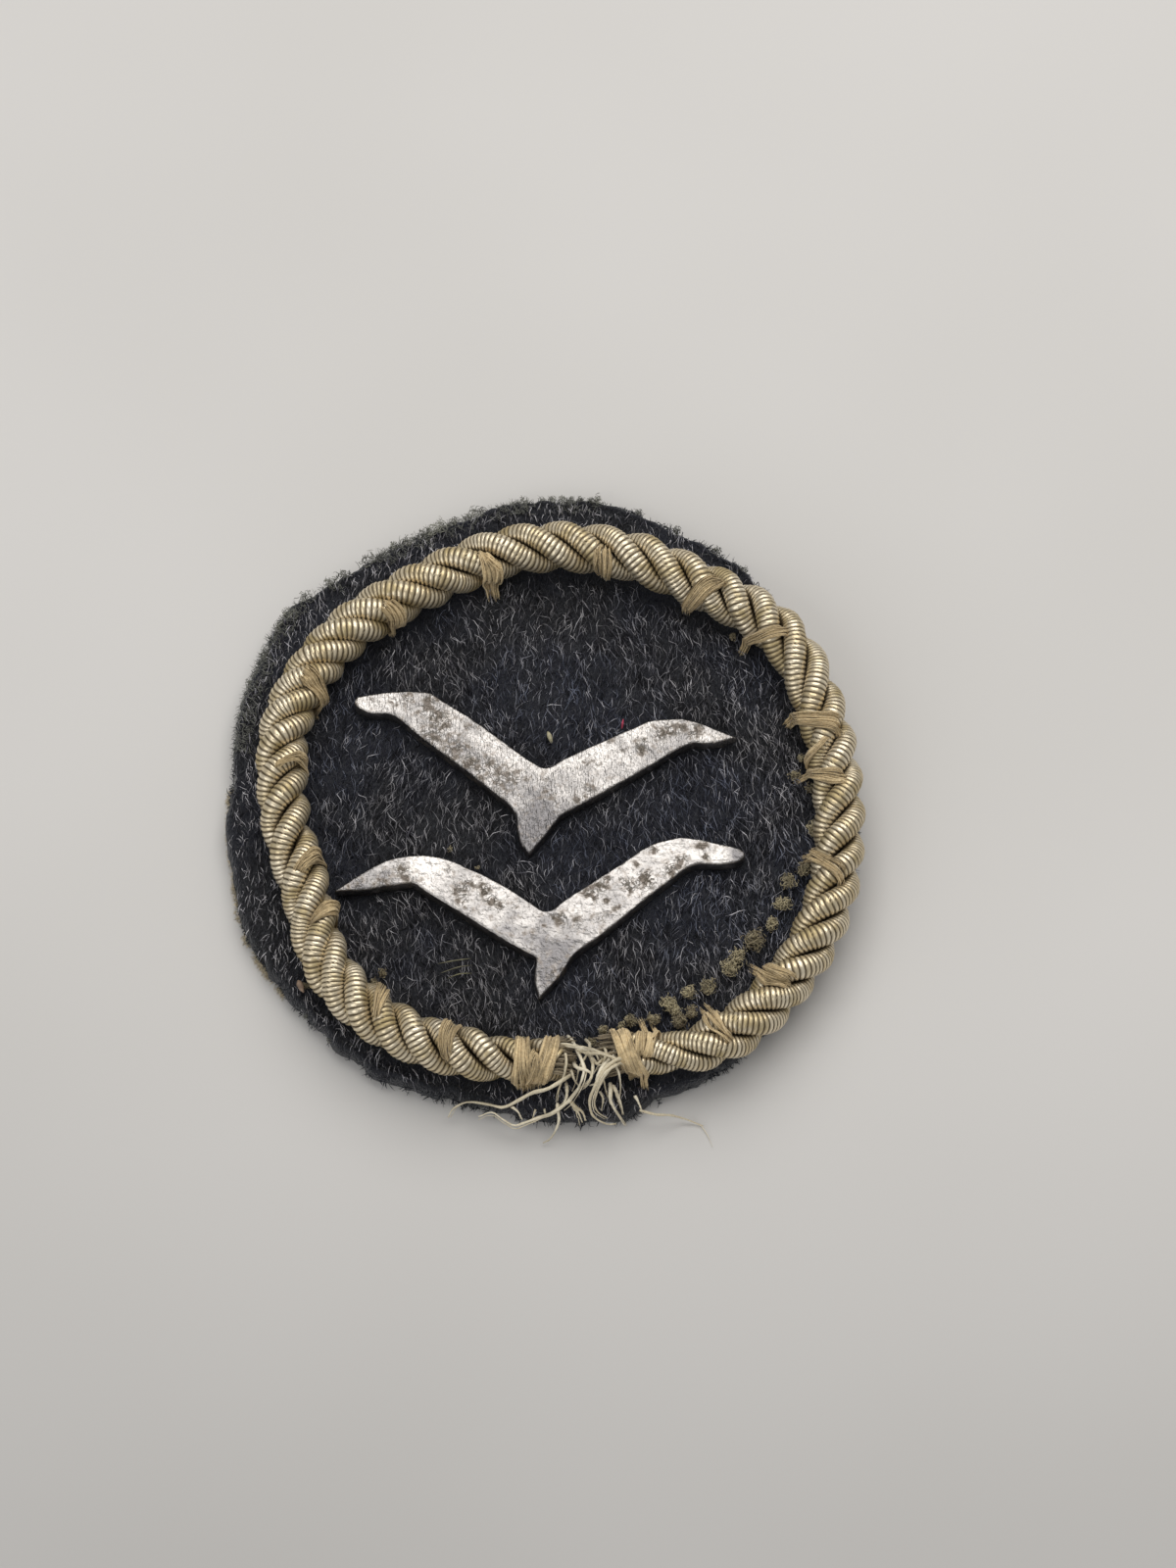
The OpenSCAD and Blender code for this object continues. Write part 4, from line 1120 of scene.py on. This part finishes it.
def core_fibres(rng, count, degrees, run, reach):
    """Short coarse fibres that stand out of a cut end of the cord at an angle, and run on round the ring."""
    around_cord = rng.uniform(0, 360, count)
    out = reach * np.sqrt(rng.uniform(0, 1, count))
    paths = np.zeros((count, 5, 3))
    long = rng.uniform(0.4, 1.0, count)
    for step, t in enumerate(np.linspace(0, 1, 5)):
        at = degrees + np.degrees(run * t * long / MEAN_RADIUS)
        splay = out * (1 + 0.25 * t) + rng.normal(0, 0.03, count)
        paths[:, step] = cord_middle(at) + across_cord(at, around_cord) * splay[:, None]
        paths[:, step, 2] -= 0.55 * t * t * long
    paths[..., 2] = np.maximum(paths[..., 2], FELT_THICK + CORD_LIFT)
    widths = rng.uniform(0.1, 0.22, (count, 1)) * np.array([1.0, 1.0, 0.95, 0.85, 0.5])
    return paths, widths, rng.uniform(0, 1, count)


rng = np.random.default_rng(111)
runs = [core_fibres(rng, 190, 268.2, 1.7, 1.3), core_fibres(rng, 190, 283.6, -2.3, 1.25)]
core_thread = thread_finish("grey_cord_core", (0.16, 0.125, 0.08), (0.37, 0.305, 0.205))
thread_piece("cord_core_ends", runs, 4, core_thread)


# The tufts. Small soft balls of olive-tan thread, the frayed remains of earlier stitches, stick to the felt
# along the inside of the ring, most of them at the lower right. The felt's upper, left and lower left edge
# has let out balls of its own grey wool.
TUFT_FIBRES, TUFT_THREAD = 100, 0.075
FLUFF_FIBRES, FLUFF_THREAD = 50, 0.05


def tuft(rng, place, size, fibres, thread, tone):
    """Paths, widths and tones of the short curled fibres of one soft round tuft about a place."""
    count = int(fibres * size)
    middle = np.array([*(RING_CENTRE + place[:2]), place[2] + 0.2 * size])
    heading = rng.normal(0, 1, (count, 3))
    stretch = rng.uniform(0.6, 1.2, 3) * [1, 1, 0.65]
    start = rng.normal(0, 0.3 * size, (count, 3)) * stretch
    paths = np.zeros((count, 5, 3))
    paths[:, 0] = middle + start
    for step in range(1, 5):
        heading += rng.normal(0, 0.7, (count, 3)) - (paths[:, step - 1] - middle) * 1.2 / size
        heading /= np.linalg.norm(heading, axis=1, keepdims=True)
        paths[:, step] = paths[:, step - 1] + heading * (0.14 * size * rng.uniform(0.6, 1.2, count))[:, None]
    reach = 0.7 * size * (0.4 + 0.6 * stretch) * rng.uniform(0.7, 1.45, (count, 1, 1))
    outward = (paths - middle) / reach
    far = np.linalg.norm(outward, axis=-1, keepdims=True) + 0.001
    paths = middle + (paths - middle) * np.tanh(far) / far
    paths[..., 2] = np.maximum(paths[..., 2], place[2] - 0.4)
    widths = thread * rng.uniform(0.6, 1.2, (count, 1)) * np.array([0.6, 1.0, 1.0, 0.8, 0.3])
    # Painted light and shade: fibres high in a tuft are paler and low ones darker, as where light falls on
    # its top.
    height_for_painted_light = (paths[:, 2, 2] - middle[2]) / size
    tones = tone - 0.1 + 1.3 * height_for_painted_light + rng.uniform(-0.35, 0.35, count)
    return paths, widths, np.clip(tones, 0, 1)


TUFTS = [
    # x, y, height, size, and tone from brown to olive yellow
    (16.7, 4.2, 2.0, 0.7, 0.5), (17.3, 1.9, 2.0, 0.7, 0.2), (17.5, -1.2, 2.0, 1.1, 0.6),
    (16.8, -4.3, 2.0, 1.2, 0.3), (15.7, -5.2, 2.0, 1.2, 0.9), (15.2, -6.9, 2.0, 1.3, 0.75),
    (14.5, -8.4, 2.0, 1.0, 0.6), (13.3, -9.7, 2.0, 1.5, 0.1), (12.1, -10.8, 2.0, 1.2, 0.7),
    (11.6, -11.7, 2.0, 1.3, 0.85), (10.0, -13.1, 2.0, 1.15, 0.85), (8.7, -13.5, 2.0, 1.2, 0.7),
    (7.3, -14.3, 2.0, 1.2, 0.9), (7.8, -14.9, 2.0, 1.1, 0.6), (8.1, -15.7, 2.0, 1.3, 0.05),
    (8.9, -15.0, 2.0, 1.1, 0.1), (6.3, -15.5, 2.0, 0.95, 0.4), (4.7, -15.6, 2.0, 1.0, 0.6),
    (2.8, -16.4, 2.1, 1.0, 0.35), (2.0, -17.2, 2.1, 0.7, 0.5), (4.0, -16.1, 2.1, 0.6, 0.5),
    (-12.4, -12.1, 2.1, 0.8, 0.1), (-13.0, -12.7, 2.0, 0.6, 0.2), (12.0, 13.6, 2.0, 0.6, 0.5),
    (16.2, 2.9, 2.0, 0.8, 0.5), (-7.5, -16.2, 2.1, 0.7, 0.6), (-7.8, -2.7, 1.9, 0.45, 0.7),
    (-5.9, -4.1, 1.9, 0.35, 0.5), (-17.7, -12.9, 1.8, 0.5, 0.2), (-2.6, -17.2, 2.3, 0.6, 0.6),
]
rng = np.random.default_rng(121)
runs = [tuft(rng, (x, y, z), size, TUFT_FIBRES, TUFT_THREAD, tone) for x, y, z, size, tone in TUFTS]
olive_thread = thread_finish("olive_tan_tufts", (0.14, 0.107, 0.065), (0.55, 0.48, 0.3), 0.9)
thread_piece("stitch_tufts", runs, 3, olive_thread)

EDGE_TUFTS = [
    # angle round the ring, height, size, and tone from dark to pale
    (104.9, 1.5, 1.3, 0.3), (103.6, 1.3, 0.8, 0.25), (106.4, 1.2, 0.8, 0.2), (108.8, 1.5, 1.0, 0.25),
    (96.6, 1.5, 0.9, 0.25), (97.9, 1.3, 0.7, 0.2), (93.4, 1.5, 0.5, 0.5), (91.9, 1.6, 0.7, 0.6),
    (90.3, 1.6, 0.6, 0.65), (88.6, 1.5, 0.5, 0.5), (87.1, 1.6, 0.65, 0.5), (85.4, 1.6, 0.8, 0.5),
    (84.2, 1.8, 0.9, 0.45), (111.2, 1.7, 1.1, 0.9), (112.8, 1.8, 1.2, 1.0), (114.1, 1.6, 0.8, 0.75),
    (117.4, 1.5, 1.2, 0.2), (120.1, 1.7, 0.8, 0.4), (124.6, 1.5, 1.4, 0.15), (129.8, 1.6, 1.1, 0.2),
    (132.4, 1.5, 1.3, 0.3), (137.5, 1.5, 1.3, 0.2), (141.4, 1.6, 1.4, 0.3), (144.0, 1.7, 1.0, 0.4),
    (149.5, 1.4, 1.2, 0.15), (155.0, 1.3, 0.9, 0.15), (220.0, 0.9, 0.6, 0.4), (226.0, 0.9, 0.7, 0.3),
    (184.0, 0.3, 0.5, 0.6), (187.0, 0.3, 0.5, 0.7), (190.0, 0.3, 0.6, 0.65), (193.0, 0.3, 0.5, 0.7),
    (196.5, 0.3, 0.6, 0.6), (199.5, 0.3, 0.6, 0.6), (202.5, 0.35, 0.7, 0.65), (206.0, 0.3, 0.5, 0.5),
    (62.0, 1.5, 0.8, 0.15), (70.0, 1.5, 0.8, 0.1), (56.0, 1.5, 0.7, 0.2), (77.0, 1.5, 0.7, 0.2),
]
runs = []
for angle, height, size, tone in EDGE_TUFTS:
    inward = 0.05 if height < 1 else 0.3 * size - 0.25
    x, y = on_ring(angle, around(FELT_EDGE, [angle]) - inward, 0)[0, :2] - RING_CENTRE
    runs.append(tuft(rng, (x, y, height), size, FLUFF_FIBRES, FLUFF_THREAD, tone))
fluff = thread_finish("dusty_wool_fluff", (0.05, 0.052, 0.045), (0.42, 0.42, 0.35), 0.9)
thread_piece("edge_fluff", runs, 3, fluff, "wool_felt")


# The flecks on the felt. They are a pale seed, a thread end of pink, a flake and three dry stalks, each a
# rounded sliver that the nap has caught.
FLECKS = {
    "pale_seed": ((0.45, 0.41, 0.27), 0.34, [(-1.05, 6.25, 2.1), (-0.9, 5.8, 2.2), (-0.75, 5.35, 2.1)]),
    "pink_thread_end": ((0.5, 0.07, 0.12), 0.16, [(4.15, 6.45, 2.1), (4.2, 6.7, 2.3), (4.25, 7.05, 2.5)]),
    "brown_flake": (
        (0.33, 0.235, 0.17), 0.45, [(-18.2, -12.6, 2.1), (-18.05, -13.0, 2.2), (-17.8, -13.5, 2.1)]
    ),
    "dry_stalk_1": ((0.2, 0.19, 0.12), 0.1, [(-8.6, -11.4, 2.2), (-7.4, -11.2, 2.3), (-6.3, -11.0, 2.2)]),
    "dry_stalk_2": ((0.16, 0.15, 0.1), 0.09, [(-8.4, -12.1, 2.2), (-7.2, -11.7, 2.3), (-6.2, -11.5, 2.2)]),
    "dry_stalk_3": ((0.18, 0.17, 0.1), 0.09, [(-7.9, -12.5, 2.2), (-7.1, -12.2, 2.3), (-6.2, -12.1, 2.2)]),
}
FLECK_SHAPE = np.array([[0.25, 0.6, 0.85, 1, 1, 0.95, 0.8, 0.55, 0.2]])
for name, (colour, thick, stations) in FLECKS.items():
    path = smooth_path(stations, FLECK_SHAPE.shape[1])[None]
    fleck, tree, shader = new_finish(name, Roughness=0.8, Specular_IOR_Level=0.3)
    fleck_colour = blended(tree, patches(tree, 0.3, 3.0), colour, times(0.6, colour))
    dress(tree, shader, fleck_colour)
    make_piece(name, *spun(path, FLECK_SHAPE * thick, 8), fleck, "wool_felt")
